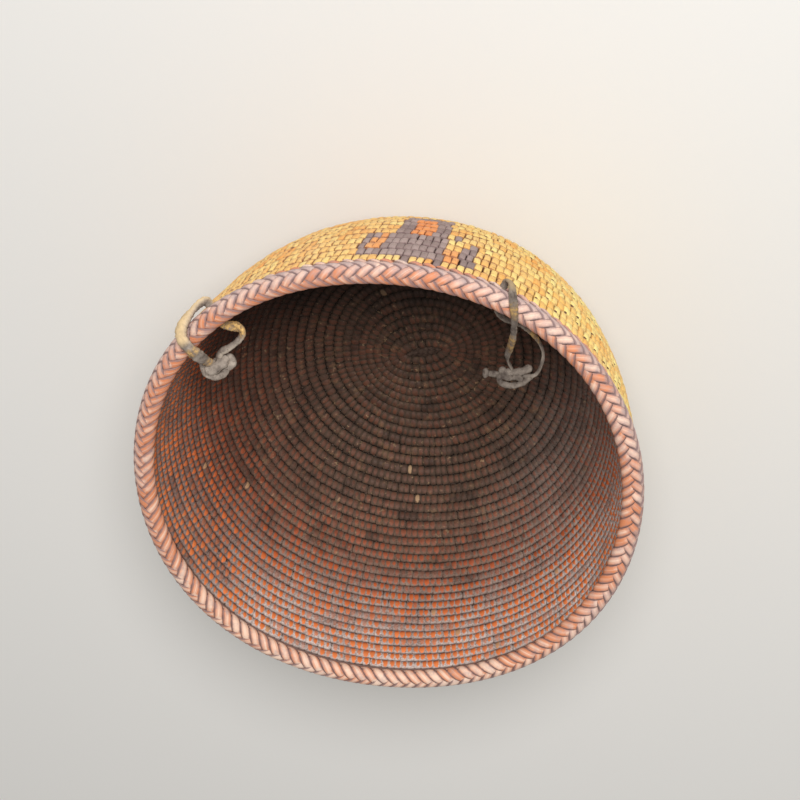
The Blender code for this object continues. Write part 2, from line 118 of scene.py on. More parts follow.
def rimPoint(azimuth, outward, upward):    # degrees, and millimetres from the braid's middle line
    angle = math.radians(azimuth)
    swell = bowl["oval"] * math.cos(2 * math.radians(azimuth - bowl["ovalTurn"]))
    swell += bowl["square"] * math.cos(4 * math.radians(azimuth - bowl["squareTurn"]))
    radius = bowl["rimRadius"] + outward * mm
    reach = radius + min(radius / mouthRadius, 1.0) * swell
    return Vector((reach * math.cos(angle), reach * math.sin(angle), rimHeight + upward * mm))


# Node trees: a wire is one value in a tree, and a tree adds nodes

def valueOf(value):
    return value if isinstance(value, Wire) else float(value)


def pickSocket(sockets, key):        # by its number or its name
    if isinstance(key, int):
        return sockets[key]
    return next(socket for socket in sockets if socket.name == key and socket.enabled)


class Wire:
    def __init__(self, tree, socket):
        self.tree = tree
        self.socket = socket

    def out(self, name):                       # another output of the same node
        return Wire(self.tree, pickSocket(self.socket.node.outputs, name))

    def maths(self, operation, *others):
        values = dict(enumerate((self,) + tuple(valueOf(other) for other in others)))
        return self.tree.node("ShaderNodeMath", {"operation": operation}, values)

    def __add__(self, other):
        return self.maths("ADD", other)

    def __sub__(self, other):
        return self.maths("SUBTRACT", other)

    def __mul__(self, other):
        return self.maths("MULTIPLY", other)

    def __truediv__(self, other):
        return self.maths("DIVIDE", other)

    def __lt__(self, other):
        return self.maths("LESS_THAN", other)

    def __gt__(self, other):
        return self.maths("GREATER_THAN", other)

    def __neg__(self):
        return self.maths("MULTIPLY", -1.0)

    def __abs__(self):
        return self.maths("ABSOLUTE")

    def __radd__(self, other):
        return self.maths("ADD", other)

    def __rmul__(self, other):
        return self.maths("MULTIPLY", other)

    def __rsub__(self, other):
        return self.tree.node("ShaderNodeMath", {"operation": "SUBTRACT"}, {0: valueOf(other), 1: self})

    def sin(self):
        return self.maths("SINE")

    def cos(self):
        return self.maths("COSINE")

    def low(self, other):
        return self.maths("MINIMUM", other)

    def high(self, other):
        return self.maths("MAXIMUM", other)

    def within(self, lowest, highest):
        return self.low(highest).high(lowest)

    def clamp(self):
        return self.within(0.0, 1.0)

    def floor(self):
        return self.maths("FLOOR")

    def round(self):
        return self.maths("ROUND")

    def root(self):
        return self.maths("SQRT")

    def modulo(self, other):
        return self.maths("FLOORED_MODULO", other)

    def span(self, first, last, start=0.0, end=1.0, kind="LINEAR"):      # map a stretch of values on another
        return self.tree.node("ShaderNodeMapRange", {"interpolation_type": kind},
                              {0: self, 1: first, 2: last, 3: start, 4: end})

    def smooth(self, first, last):
        return self.span(first, last, kind="SMOOTHSTEP")


class Tree:
    def __init__(self, nodeTree, entry=None):
        self.nodeTree = nodeTree
        self.entry = entry

    def node(self, kind, settings=None, values=None, output=None):
        made = self.nodeTree.nodes.new(kind)
        for name, value in (settings or {}).items():
            setattr(made, name, value)
        for key, value in (values or {}).items():
            socket = pickSocket(made.inputs, key)
            if isinstance(value, Wire):
                self.nodeTree.links.new(value.socket, socket)
            else:
                socket.default_value = value
        if not made.outputs:
            return None
        if output is None:
            return Wire(self, next(socket for socket in made.outputs if socket.enabled))
        return Wire(self, pickSocket(made.outputs, output))

    def given(self, name):                     # an input of the whole tree
        return Wire(self, pickSocket(self.entry.outputs, name))

    def vector(self, x=0.0, y=0.0, z=0.0):
        return self.node("ShaderNodeCombineXYZ", None, {"X": valueOf(x), "Y": valueOf(y), "Z": valueOf(z)})

    def vectorMaths(self, operation, first, second=None):
        values = {0: first}
        if operation == "SCALE":
            values["Scale"] = valueOf(second)
        elif second is not None:
            values[1] = second
        return self.node("ShaderNodeVectorMath", {"operation": operation}, values)

    def sumOf(self, *vectors):
        total = vectors[0]
        for vector in vectors[1:]:
            total = self.vectorMaths("ADD", total, vector)
        return total

    def blend(self, *parts):                   # a sum of vectors, each given with its share
        return self.sumOf(*(self.vectorMaths("SCALE", vector, share) for vector, share in parts))

    def parts(self, vector):
        made = self.node("ShaderNodeSeparateXYZ", None, {0: vector})
        return made.out("X"), made.out("Y"), made.out("Z")

    def mix(self, share, first, second):
        return self.node("ShaderNodeMix", {"data_type": "RGBA"}, {0: share, 6: first, 7: second}, 2)

    def coats(self, colour, *coats):           # colours laid over the first, each with its share
        for share, coat in coats:
            colour = self.mix(share, colour, coat)
        return colour

    def attribute(self, name):                 # a number stored on the mesh, read in a material
        return self.node("ShaderNodeAttribute", {"attribute_name": name}, None, "Fac")

    def noise(self, place, scale, detail=3.0, roughness=0.5):
        return self.node("ShaderNodeTexNoise", None,
                         {"Vector": place, "Scale": scale, "Detail": detail, "Roughness": roughness})

    def noises(self, place, kinds):            # one for each kind: its scale, detail and roughness
        return [self.noise(place, *kind) for kind in kinds.values()]

    def store(self, geometry, **values):       # numbers kept on the points, for later nodes or a material
        for name, value in values.items():
            geometry = self.node("GeometryNodeStoreNamedAttribute", {"data_type": "FLOAT", "domain": "POINT"},
                                 {"Geometry": geometry, "Name": name, "Value": value})
        return geometry

    def stored(self, name):
        return self.node("GeometryNodeInputNamedAttribute", {"data_type": "FLOAT"}, {"Name": name},
                         "Attribute")

    def placed(self, geometry, position):
        return self.node("GeometryNodeSetPosition", None, {"Geometry": geometry, "Position": position})

    def randomValue(self, low, high, seed):
        return self.node("FunctionNodeRandomValue", {"data_type": "FLOAT"},
                         {"Min": low, "Max": high, "Seed": seed}, 1)


# New objects and meshes, and pieces grown from a geometry tree

def newObject(name, data):
    made = bpy.data.objects.new(name, data)
    bpy.context.scene.collection.objects.link(made)
    return made


def newMesh(name, verts, faces, numbers=None):       # numbers: values for each point, by attribute name
    mesh = bpy.data.meshes.new(name)
    mesh.from_pydata(verts, [], faces)
    for attributeName, values in (numbers or {}).items():
        mesh.attributes.new(attributeName, "FLOAT", "POINT").data.foreach_set("value", values)
    return mesh


def newGeometryTree(name, inputs):
    group = bpy.data.node_groups.new(name, "GeometryNodeTree")
    group.interface.new_socket("Geometry", in_out="OUTPUT", socket_type="NodeSocketGeometry")
    group.interface.new_socket("Geometry", in_out="INPUT", socket_type="NodeSocketGeometry")
    for inputName, kind in inputs.items():
        group.interface.new_socket(inputName, in_out="INPUT", socket_type="NodeSocket" + kind)
    return Tree(group, group.nodes.new("NodeGroupInput"))


shellMerge = 0.02 * mm               # points closer than this become one where a sheet closes
tubeMerge = 0.005 * mm


def closeTree(tree, geometry, mergeDistance=None):
    if mergeDistance:
        geometry = tree.node("GeometryNodeMergeByDistance", None,
                             {"Geometry": geometry, "Distance": mergeDistance})
    solid = tree.node("GeometryNodeRealizeInstances", None, {"Geometry": geometry})
    painted = tree.node("GeometryNodeSetMaterial", None,
                        {"Geometry": solid, "Material": tree.given("Material")})
    tree.node("NodeGroupOutput", None, {"Geometry": painted})
    return tree.nodeTree


def enclosedVolume(mesh):
    mesh.calc_loop_triangles()
    places = np.empty(len(mesh.vertices) * 3, np.float32)
    mesh.vertices.foreach_get("co", places)
    corners = np.empty(len(mesh.loop_triangles) * 3, np.int32)
    mesh.loop_triangles.foreach_get("vertices", corners)
    a, b, c = places.reshape(-1, 3)[corners].reshape(-1, 3, 3).transpose(1, 0, 2).astype(float)
    return float(np.einsum("ij,ij->i", a, np.cross(b, c)).sum() / 6)


def finishPiece(piece):              # faces out, and smooth
    if enclosedVolume(piece.data) < 0:
        piece.data.flip_normals()
    piece.data.shade_smooth()
    print("made", piece.name, len(piece.data.loop_triangles), "triangles")
    return piece


def growPiece(name, group, values, slotName):
    piece = newObject(name, bpy.data.meshes.new(name))
    modifier = piece.modifiers.new(name, "NODES")
    modifier.node_group = group
    for item in group.interface.items_tree:
        if item.item_type == "SOCKET" and item.in_out == "INPUT" and item.name in values:
            modifier[item.identifier] = values[item.name]
    depsgraph = bpy.context.evaluated_depsgraph_get()
    grown = bpy.data.meshes.new_from_object(piece.evaluated_get(depsgraph), preserve_all_data_layers=True,
                                            depsgraph=depsgraph)
    piece.modifiers.remove(modifier)
    grown.name = name
    piece.data = grown
    finishPiece(piece)
    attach(piece, "basket")
    return piece


def nodesNamed(start):
    return [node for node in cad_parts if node.startswith(start)]


# Places on the bowl, in a geometry tree

def wallLine(tree, arc, outward):    # radius and height on the bowl, and the slope of its line there
    segment = tree.node("GeometryNodeCurvePrimitiveBezierSegment", {"mode": "POSITION"},
                        {"Resolution": bowl["lineSamples"], "Start": wallStart, "Start Handle": wallStartPull,
                         "End Handle": wallEndPull, "End": wallEnd})
    along = (arc - bowl["floorRadius"]).high(0.0)
    onWall = tree.node("GeometryNodeSampleCurve", {"mode": "LENGTH"},
                       {"Curves": segment, "Length": along}, "Position")
    wallX, _, wallZ = tree.parts(onWall)
    slopeOut, _, slopeUp = tree.parts(onWall.out("Tangent"))
    inner = wallX - (bowl["floorRadius"] - arc).high(0.0)
    return inner + slopeUp * outward, wallZ - slopeOut * outward, slopeOut, slopeUp


def startPull(radius):               # how far the rounds near the start are drawn out into ovals
    return radius.span(0.0, bowl["startReach"], bowl["startHalf"], 0.0, "SMOOTHSTEP")


def ringPlace(tree, radius, height, azimuth):
    oval = (azimuth * 2 - math.radians(2 * bowl["ovalTurn"])).cos() * bowl["oval"]
    square = (azimuth * 4 - math.radians(4 * bowl["squareTurn"])).cos() * bowl["square"]
    reach = radius + (radius / mouthRadius).low(1.0) * (oval + square)
    turn = math.radians(bowl["startTurn"])
    slide = startPull(radius) * (azimuth - turn).cos()
    return tree.vector(azimuth.cos() * reach + slide * math.cos(turn),
                       azimuth.sin() * reach + slide * math.sin(turn), height)


def ringAxes(tree, radius, azimuth, slopeOut, slopeUp):     # along the round, up the wall, and out of it
    turn = math.radians(bowl["startTurn"])
    slide = startPull(radius) * (azimuth - turn).sin()
    alongX = -(azimuth.sin() * radius) - slide * math.cos(turn)
    alongY = azimuth.cos() * radius - slide * math.sin(turn)
    length = (alongX * alongX + alongY * alongY).root().high(0.1 * mm)      # never zero
    alongX = alongX / length
    alongY = alongY / length
    upWall = tree.vector(alongY * slopeOut, -(alongX * slopeOut), slopeUp)
    outward = tree.vector(alongY * slopeUp, -(alongX * slopeUp), -slopeOut)
    return tree.vector(alongX, alongY), upWall, outward


def roundSheet(tree, around, rows):  # a sheet of points to bend round the bowl, with their azimuths and rows
    sheet = tree.node("GeometryNodeMeshGrid", None,
                      {"Size X": 1.0, "Size Y": 1.0, "Vertices X": around + 1, "Vertices Y": rows})
    x, y, _ = tree.parts(tree.node("GeometryNodeInputPosition"))
    azimuth = ((x + 0.5) * around).round().modulo(around) / around * fullTurn
    return sheet, azimuth, ((y + 0.5) * (rows - 1)).round()


def roundDrop(side):                 # how far a coil's round face falls away: side is -1 and 1 at its grooves
    inside = 1 - side * side * bowl["roundness"]
    return 1 - (inside.root() if isinstance(side, Wire) else math.sqrt(inside))


# Stitches and folds: one small pillow, laid along the rounds

pillowColumns = (-1.0, -0.6, 0.0, 0.6, 1.0)
pillowRows = (-1.0, -0.85, -0.5, 0.0, 0.5, 0.85, 1.0)


def pillow(name, sizes):             # a closed cushion: its edge on the coil's round face, its crown above
    verts = []
    for v in pillowRows:
        for u in pillowColumns:
            x = u * sizes["width"] / 2 * (1 - sizes["corner"] * v ** 4)
            y = v * sizes["height"] / 2 * (1 - sizes["corner"] * u ** 4)
            crown = sizes["puff"] * (1 - u ** 4) * (1 - abs(v) ** 5)
            verts.append((x, y, crown - sizes["arch"] * roundDrop(v)))
    wide = len(pillowColumns)
    last = len(pillowRows) - 1
    faces = []
    for j in range(last):
        for i in range(wide - 1):
            a = j * wide + i
            faces.append((a, a + 1, a + 1 + wide, a + wide))
    edge = ([(i, 0) for i in range(wide)] + [(wide - 1, j) for j in range(1, last + 1)]
            + [(i, last) for i in range(wide - 2, -1, -1)] + [(0, j) for j in range(last - 1, 0, -1)])
    faces.append([j * wide + i for i, j in reversed(edge)])
    return newObject(name, newMesh(name, verts, faces, {
        "across": [u for v in pillowRows for u in pillowColumns],
        "along": [v for v in pillowRows for u in pillowColumns]}))


rowInputs = {"Stitch": "Object", "First arc": "Float", "Row step": "Float", "Rows": "Int", "First row": "Int",
             "Spacing": "Float", "Depth": "Float", "Facing": "Float", "Lean": "Float", "Wander": "Float",
             "Keep": "Float", "Seed": "Int", "Material": "Material"}

# The figure in whole folds: first and last column from its middle, first and last row
figure = {
    "bark": [(-4.5, 3.5, 1, 5), (-4.5, -2.5, 5, 9), (0.5, 2.5, 5, 9), (-4.5, 2.5, 9, 10),
             (3.5, 6.5, 1, 2), (5.5, 6.5, 2, 4), (4.5, 6.5, 4, 5), (-8.5, -6.5, 1, 4), (-8.5, -7.5, 4, 5),
             (-0.5, 0.5, 0, 1), (-4.5, -3.5, 0, 1), (-6.5, -5.5, 5, 6)],
    "cherry": [(-2.5, 0.5, 5, 9)],
    "warm": [(3.5, 5.5, 2, 5), (-6.5, -4.5, 1, 3)],
    "kinds": {"grass": 0.0, "bark": 1.0, "cherry": 2.0},     # the "Keep" of each kind of fold
    "middle": 279.7,                 # azimuth of the front figure's middle fold
    "columns": 68,                   # from one figure to the next
    "rows": 10,
}

# How far hand sewing strays, as shares of a piece's "Wander"
stray = {
    "step": 0.7,                     # along the row, in stitches
    "foldStep": 0.4,
    "lift": 0.12,                    # up the wall from one stitch to the next, in courses
    "drift": 0.6,                    # up the wall over a longer stretch, in courses
    "driftWaves": (4, 45),           # how fast that changes: round the bowl, and up it
    "lean": 0.3,                     # in radians
    "width": 0.8,
    "height": 0.3,
    "puff": 1.0,
    "stagger": 0.37,                 # each row starts this much further on, in stitches
    "foldStagger": (4.1, 0.2),       # folds stand nearly in line: turn and size of their stagger
    "runWaves": (2.6, 0.9),          # stretches of like colour: round the bowl, and row by row
}


def inBlocks(column, row, blocks):
    total = 0.0
    for first, last, top, bottom in blocks:
        total = (column > first) * (column < last) * (row > top - 0.5) * (row < bottom - 0.5) + total
    return total.clamp()


def nearRim(row):                    # 1 on the rows that hold the figures
    return row < figure["rows"] - 0.5


def rowPoints(tree, folds):          # a point for each stitch, with its arc, its row and the row's count
    line = tree.node("GeometryNodeMeshLine", {"mode": "OFFSET", "count_mode": "TOTAL"},
                     {"Count": tree.given("Rows")})
    order = tree.node("GeometryNodeInputIndex")
    arc = tree.given("First arc") - order * tree.given("Row step")
    row = order + tree.given("First row")
    radius = wallLine(tree, arc, 0.0)[0]
    count = ((radius * fullTurn + startPull(radius) * 4) / tree.given("Spacing")).round()
    if folds:
        count = nearRim(row) * bowl["foldsRound"] + (1 - nearRim(row)) * count
    return tree.node("GeometryNodeDuplicateElements", {"domain": "POINT"},
                     {"Geometry": tree.store(line, arc=arc, row=row, count=count),
                      "Amount": tree.stored("count")})


def figureParts(step, row):          # 1 where a fold is of bark, of cherry bark, or of the warmer fill
    half = figure["columns"] / 2
    column = (step + half).modulo(figure["columns"]) - half
    return (inBlocks(column, row, figure[each]) * nearRim(row) for each in ("bark", "cherry", "warm"))


def waveNoise(tree, azimuth, along, waves):          # changes slowly round the bowl and along another value
    across, up = waves
    return tree.noise(tree.vector(azimuth.cos() * across, azimuth.sin() * across, along * up), 1.0, 2.0)


def sewnRows(name, folds=False):
    tree = newGeometryTree(name, rowInputs)
    points = rowPoints(tree, folds)
    step = points.out("Duplicate Index")
    arc, row, count = (tree.stored(each) for each in ("arc", "row", "count"))
    wander, seed = tree.given("Wander"), tree.given("Seed")

    def strayed(number, share):      # a random share of the wander for each stitch
        return tree.randomValue(-0.5, 0.5, seed + number) * wander * share

    if folds:
        turn, size = stray["foldStagger"]
        shift = strayed(0, stray["foldStep"]) + (row * turn).sin() * size
        azimuth = (step + shift) * fullTurn / count + math.radians(figure["middle"])
        kinds = figure["kinds"]
        bark, cherry, warm = figureParts(step, row)
        kept = abs(bark * kinds["bark"] + cherry * kinds["cherry"] - tree.given("Keep")) < 0.5
    else:
        azimuth = (step + strayed(0, stray["step"]) + row * stray["stagger"]) * fullTurn / count
    drift = (waveNoise(tree, azimuth, arc, stray["driftWaves"]) - 0.5) * wander * stray["drift"]
    climb = strayed(1, stray["lift"] * bowl["course"]) + drift * bowl["course"]
    radius, height, slopeOut, slopeUp = wallLine(tree, arc + climb, tree.given("Depth"))
    along, upWall, outward = ringAxes(tree, radius, azimuth, slopeOut, slopeUp)
    points = tree.placed(points, ringPlace(tree, radius, height, azimuth))
    points = tree.store(points, tone=tree.randomValue(0.0, 1.0, seed + 2),
                        run=waveNoise(tree, azimuth, row, stray["runWaves"]))
    if folds:
        points = tree.store(points, warm=warm)
    tilt = tree.given("Lean") + strayed(3, stray["lean"])
    turned = tree.node("FunctionNodeAxesToRotation", {"primary_axis": "Z", "secondary_axis": "Y"},
                       {"Primary Axis": tree.vectorMaths("SCALE", outward, tree.given("Facing")),
                        "Secondary Axis": tree.blend((upWall, tilt.cos()), (along, tilt.sin()))})
    size = tree.vector(strayed(4, stray["width"]) + 1, strayed(5, stray["height"]) + 1,
                       strayed(6, stray["puff"]) + 1)
    stitch = tree.node("GeometryNodeObjectInfo", None, {"Object": tree.given("Stitch")}, "Geometry")
    values = {"Points": points, "Instance": stitch, "Rotation": turned, "Scale": size}
    if folds:
        values["Selection"] = kept
    return closeTree(tree, tree.node("GeometryNodeInstanceOnPoints", None, values))


# Coil shells: the bundle under the stitches, ribbed once for each round

shellInputs = {"Lowest arc": "Float", "Highest arc": "Float", "Rib start": "Float", "Rib step": "Float",
               "Thickness": "Float", "Bulge": "Float", "Recess": "Float", "Inside samples": "Int",
               "Outside samples": "Int", "Round": "Int", "Material": "Material"}


def ribbedShell(name, ring):         # a ring closes on itself, and a disc ends in the middle of the floor
    tree = newGeometryTree(name, shellInputs)
    inside, outside = tree.given("Inside samples"), tree.given("Outside samples")
    count = inside + outside
    sheet, azimuth, index = roundSheet(tree, tree.given("Round"), count + 1 if ring else count)
    if ring:
        index = index.modulo(count)
    outer = index > inside - 0.5
    share = index / (inside - 1) * (1 - outer) + (1 - (index - inside) / (outside - 1)) * outer
    lowest = tree.given("Lowest arc")
    arc = lowest + (tree.given("Highest arc") - lowest) * share
    rib = (tree.given("Rib start") - arc) / tree.given("Rib step")
    groove = roundDrop((rib - rib.floor()) * 2 - 1) * tree.given("Bulge") + tree.given("Recess")
    depth = groove * (1 - outer) + (tree.given("Thickness") - groove) * outer
    radius, height, _, _ = wallLine(tree, arc, depth)
    return closeTree(tree, tree.placed(sheet, ringPlace(tree, radius.high(0.0), height, azimuth)), shellMerge)


# Materials. Noises are given as scale (marks per metre, roughly), detail and roughness

def tint(red, green, blue):          # a colour as it shows, 0 to 255
    linear = [((value / 255 + 0.055) / 1.055) ** 2.4 for value in (red, green, blue)]
    return (*linear, 1.0)


bumpStrength = 0.7
grainLooks = {
    "along": 0.6,                    # waves along a stitch, against those across it
    "apart": 60,                     # how far each stitch's grain lies from the next one's
    "noise": (1.0, 3.0, 0.6),
}


def openMaterial(name, *attributes):           # with the object's own place, and the numbers on its mesh
    material = bpy.data.materials.new(name)
    material.use_nodes = True
    material.node_tree.nodes.clear()
    tree = Tree(material.node_tree)
    place = tree.node("ShaderNodeTexCoord", None, None, "Object")
    return material, tree, place, [tree.attribute(each) for each in attributes]


def closeMaterial(material, tree, colour, roughness, bump=None, bumpDistance=0.3 * mm, specular=0.35):
    values = {"Base Color": colour, "Roughness": roughness, "Specular IOR Level": specular}
    if bump is not None:
        values["Normal"] = tree.node("ShaderNodeBump", None,
                                     {"Strength": bumpStrength, "Distance": bumpDistance, "Height": bump})
    surface = tree.node("ShaderNodeBsdfPrincipled", None, values)
    tree.node("ShaderNodeOutputMaterial", None, {"Surface": surface})
    return material


def fibres(tree, across, along, tone, fine=7.0):    # grain that runs along a splint
    place = tree.vector(across * fine, along * grainLooks["along"], tone * grainLooks["apart"])
    return tree.noise(place, *grainLooks["noise"])


splintLooks = {
    "deep": tint(150, 62, 38),
    "bright": tint(236, 116, 54),
    "sunlit": tint(255, 152, 88),        # brighter orange near the rim, where the splints are cleaner: partly painted light on the lit upper wall
    "lowDust": tint(82, 65, 52),
    "dust": tint(132, 106, 90),
    "rimDust": tint(224, 208, 200),
    "sideDust": tint(88, 57, 45),        # the side that kept more of the root's red
    # dark of the painted shade in the grooves between rows, also laid as random dark blotches: low down, and
    # higher up
    "lowShadeAndBlotch": tint(52, 38, 30),
    "line": tint(84, 50, 36),
    "pale": tint(188, 156, 118),
    "tan": tint(138, 108, 78),
    # dark of the soot blotches, and of the painted shade cast by the near rim
    "sootAndShade": tint(26, 19, 15),
    "noises": {"patches": (45.0, 4.0, 0.6), "broad": (15.0, 3.0, 0.5), "fine": (900.0, 3.0, 0.6),
               "tan": (120.0, 4.0, 0.7), "soot": (75.0, 4.0, 0.65), "specks": (330.0, 3.0, 0.6)},
    "cleanAndLit": (0.4, 0.95),                # shares of the height between which the splints get cleaner and brighter, partly as painted light on the lit upper wall
    "redSide": (0.03, 0.12),             # metres along X between which the wall gets redder
    "heart": (3.2, 1.15, 0.06),          # a splint's bare oval: narrowness, shortness, and how low it sits
    "heartEdge": (0.58, 0.92),           # where that oval starts to fade, and ends
    "lost": 0.998,                       # splints past this tone have lost their skin
    "nearRimShadeWay": (0.35, -0.94),           # direction of the side of the wall in painted shade cast by the near rim
}


def dustColour(tree, x, height, cleanAndLit, red, fine):         # grey near the rim, brown low down; the paler rim is partly painted light
    looks = splintLooks
    return tree.coats(looks["lowDust"],
                      (height.smooth(0.05, 0.55), looks["dust"]),
                      (cleanAndLit * (fine * 0.9 + 0.4).clamp(), looks["rimDust"]),
                      (red * 0.7, looks["sideDust"]),
                      ((-x).smooth(0.05, 0.12) * 0.2, looks["rimDust"]))


def heartShare(tone, across, along, grain, fine):          # where wear has bared the splint's middle
    narrow, short, sunk = splintLooks["heart"]
    lower = along + sunk
    size = (tone * 7.3).modulo(1.0) * 0.4 - 0.24           # each its own
    oval = (across * across * narrow + lower * lower * short).root() + size
    return 1 - (oval + (grain - 0.5) * 0.5 + (fine - 0.5) * 0.8).smooth(*splintLooks["heartEdge"])


def insideSplintMaterial():
    looks = splintLooks
    material, tree, place, (tone, run, across, along) = openMaterial(
        "wornCedarRoot", "tone", "run", "across", "along")
    x, y, z = tree.parts(place)
    height = z / rimHeight
    patches, broad, fine, tan, soot, specks = tree.noises(place, looks["noises"])
    grain = fibres(tree, across, along, tone)
    cleanAndLit = height.smooth(*looks["cleanAndLit"])
    red = x.smooth(*looks["redSide"])
    # dark colour of the painted groove shade and of the blotches, darker low down
    line = tree.mix(height.smooth(0.1, 0.8), looks["lowShadeAndBlotch"], looks["line"])
    # random dark blotches, in the same dark colour
    shade = (0.56 - patches).clamp() * 1.2 + (0.56 - fine).clamp() * 2.2 + (0.5 - broad).clamp() * 1.4
    dust = tree.mix((shade + (0.5 - run).clamp() * 1.2).clamp() * 0.8,
                    dustColour(tree, x, height, cleanAndLit, red, fine), line)
    glow = (tone * 0.5 + (run - 0.5) * 1.4 + 0.35 + (grain - 0.5) * 0.5).clamp()
    root = tree.coats(looks["deep"],
                      (glow * (cleanAndLit * 0.6 + 0.4), looks["bright"]),
                      (cleanAndLit * 0.5, looks["sunlit"]),
                      # painted shade on the lower, downward-facing end of each stitch
                      ((1 - (along + 0.85).smooth(0.0, 0.8)) * 0.7, looks["deep"]))
    heart = heartShare(tone, across, along, grain, fine)
    show = (run * 2.6 - 0.62 + (tone - 0.5) * 0.7 + (patches - 0.5) * 1.2).clamp()
    amount = (height.smooth(0.1, 0.9) * 0.98 + 0.1) * (1 - red * 0.15)
    # painted shade in the grooves between rows, at both ends of each stitch
    grooveShade = (abs(along) + (fine - 0.5) * 0.5).smooth(0.74, 0.98) * (height.smooth(0.1, 0.6) * 0.4 + 0.35)
    low = 1 - height.smooth(0.35, 0.85)
    # painted shade cast by the near rim on the lower wall of that side
    shadeWayX, shadeWayY = looks["nearRimShadeWay"]
    nearRimShade = (x * shadeWayX + y * shadeWayY).smooth(0.0, 0.07) * (1 - height.smooth(0.45, 0.85))
    colour = tree.coats(dust,
                        ((heart * (show * 1.15 + 0.32) * amount).clamp(), root),
                        (grooveShade, line),
                        ((tan.smooth(0.54, 0.7) * (0.4 + patches) * low).clamp() * 0.42, looks["tan"]),
                        (soot.smooth(0.5, 0.66) * low * 0.4, looks["sootAndShade"]),
                        (specks.smooth(0.6, 0.72) * patches.smooth(0.4, 0.6) * 0.5, looks["pale"]),
                        ((tone > looks["lost"]) * heart * 0.8, looks["pale"]),
                        ((nearRimShade * (0.8 + (broad - 0.5) * 1.2)).clamp(), looks["sootAndShade"]))
    return closeMaterial(material, tree, colour, 0.88 - heart * 0.25, grain * 0.6 + fine * 0.4, 0.25 * mm)


bundleLooks = {
    "dark": tint(56, 40, 32),
    "light": tint(136, 112, 98),
    "low": tint(46, 35, 28),
    "strands": (420.0, 4.0, 0.6),
}


def bundleMaterial():
    looks = bundleLooks
    material, tree, place, _ = openMaterial("rootBundle")
    strands = tree.noise(place, *looks["strands"])
    height = tree.parts(place)[2] / rimHeight
    colour = tree.coats(looks["dark"], (strands.smooth(0.3, 0.7), looks["light"]),
                        ((1 - height.smooth(0.0, 0.6)) * 0.7, looks["low"]))
    return closeMaterial(material, tree, colour, 0.85, strands, 0.4 * mm, 0.2)


foldLooks = {
    "grass": {"low": tint(240, 172, 84), "high": tint(255, 242, 152), "edge": tint(146, 92, 66),
              "rough": 0.5},
    "bark": {"low": tint(138, 118, 114), "high": tint(176, 154, 148), "edge": tint(116, 94, 92),
             "rough": 0.62},
    "cherry": {"low": tint(218, 124, 66), "high": tint(248, 164, 92), "edge": tint(140, 76, 48),
               "rough": 0.4},
}
foldNoises = {"patches": (60.0, 3.0, 0.6), "mottle": (330.0, 4.0, 0.65), "fine": (1100.0, 2.0, 0.5)}
grassLooks = {
    "blush": tint(236, 166, 112),
    "warm": tint(238, 152, 90),          # folds of the figures' fill
    "hole": tint(60, 30, 18),
}


def grassCoats(tree, x, y, tone, across, along, patches):
    sideWeight = (x - y * 0.35).smooth(-0.04, 0.12)         # warmer brown towards this side
    blush = ((patches - 0.4) * 2.4).clamp() * 0.35 + sideWeight * 0.3
    spot = (abs(across - 0.4) * 0.7).high(abs(along - 0.8) * 2.0)
    worn = (-x).smooth(0.02, 0.1) * 0.34              # more of the folds have split on this side
    hole = (tone > 0.88 - worn) * (1 - (spot + (tone - 0.8) * 0.3).smooth(0.18, 0.34))
    return ((blush, grassLooks["blush"]), (tree.attribute("warm") * 0.75, grassLooks["warm"]),
            (hole, grassLooks["hole"]))


def foldMaterial(kind):
    looks = foldLooks[kind]
    material, tree, place, (tone, run, across, along) = openMaterial(
        kind + "Fold", "tone", "run", "across", "along")
    x, y, _ = tree.parts(place)
    patches, mottle, fine = tree.noises(place, foldNoises)
    grain = fibres(tree, across, along, tone, 5.0)
    light = (tone * 0.7 + (run - 0.5) * 0.9 + (patches - 0.5) * 0.9 + 0.2 + (grain - 0.5) * 0.4).clamp()
    colour = tree.mix(light, looks["low"], looks["high"])
    if kind == "grass":
        colour = tree.coats(colour, *grassCoats(tree, x, y, tone, across, along, patches))
    border = abs(across).high(abs(along) * 0.96) + (grain - 0.5) * 0.22 + (mottle - 0.5) * 0.5
    faded = 1 - (-x).smooth(0.0, 0.08) * 0.6          # the edges show less on this side
    colour = tree.coats(colour, (mottle.smooth(0.52, 0.76) * 0.55, looks["edge"]),
                        (border.smooth(0.6, 0.84) * faded * 0.9, looks["edge"]))
    return closeMaterial(material, tree, colour, looks["rough"] + (1 - light) * 0.2, grain * 0.7 + fine * 0.3)


plainLooks = {
    "dark": tint(120, 70, 44),
    "light": tint(196, 140, 96),
    "edge": tint(66, 42, 32),
    "patches": (40.0, 4.0, 0.6),
}


def outsideSplintMaterial():
    looks = plainLooks
    material, tree, place, (tone, run, across, along) = openMaterial(
        "plainCedarRoot", "tone", "run", "across", "along")
    grain = fibres(tree, across, along, tone)
    patches = tree.noise(place, *looks["patches"])
    light = (tone * 0.5 + (run - 0.5) + (patches - 0.5) + 0.25 + (grain - 0.5) * 0.5).clamp()
    colour = tree.coats(looks["dark"], (light, looks["light"]),
                        (abs(across).smooth(0.6, 1.0) * 0.7, looks["edge"]))
    return closeMaterial(material, tree, colour, 0.55, grain)


rimLooks = {
    # colour of the painted highlight on the strands
    "cream": tint(254, 222, 198),
    "pink": tint(226, 184, 166),
    "orange": tint(222, 140, 98),
    "grey": tint(172, 154, 154),
    # colour of the painted shade along and under the strands
    "edge": tint(134, 110, 108),
    "noises": {"patches": (90.0, 4.0, 0.6), "wide": (18.0, 2.0, 0.5), "fine": (420.0, 4.0, 0.65),
               "rubbed": (150.0, 3.0, 0.6)},
}


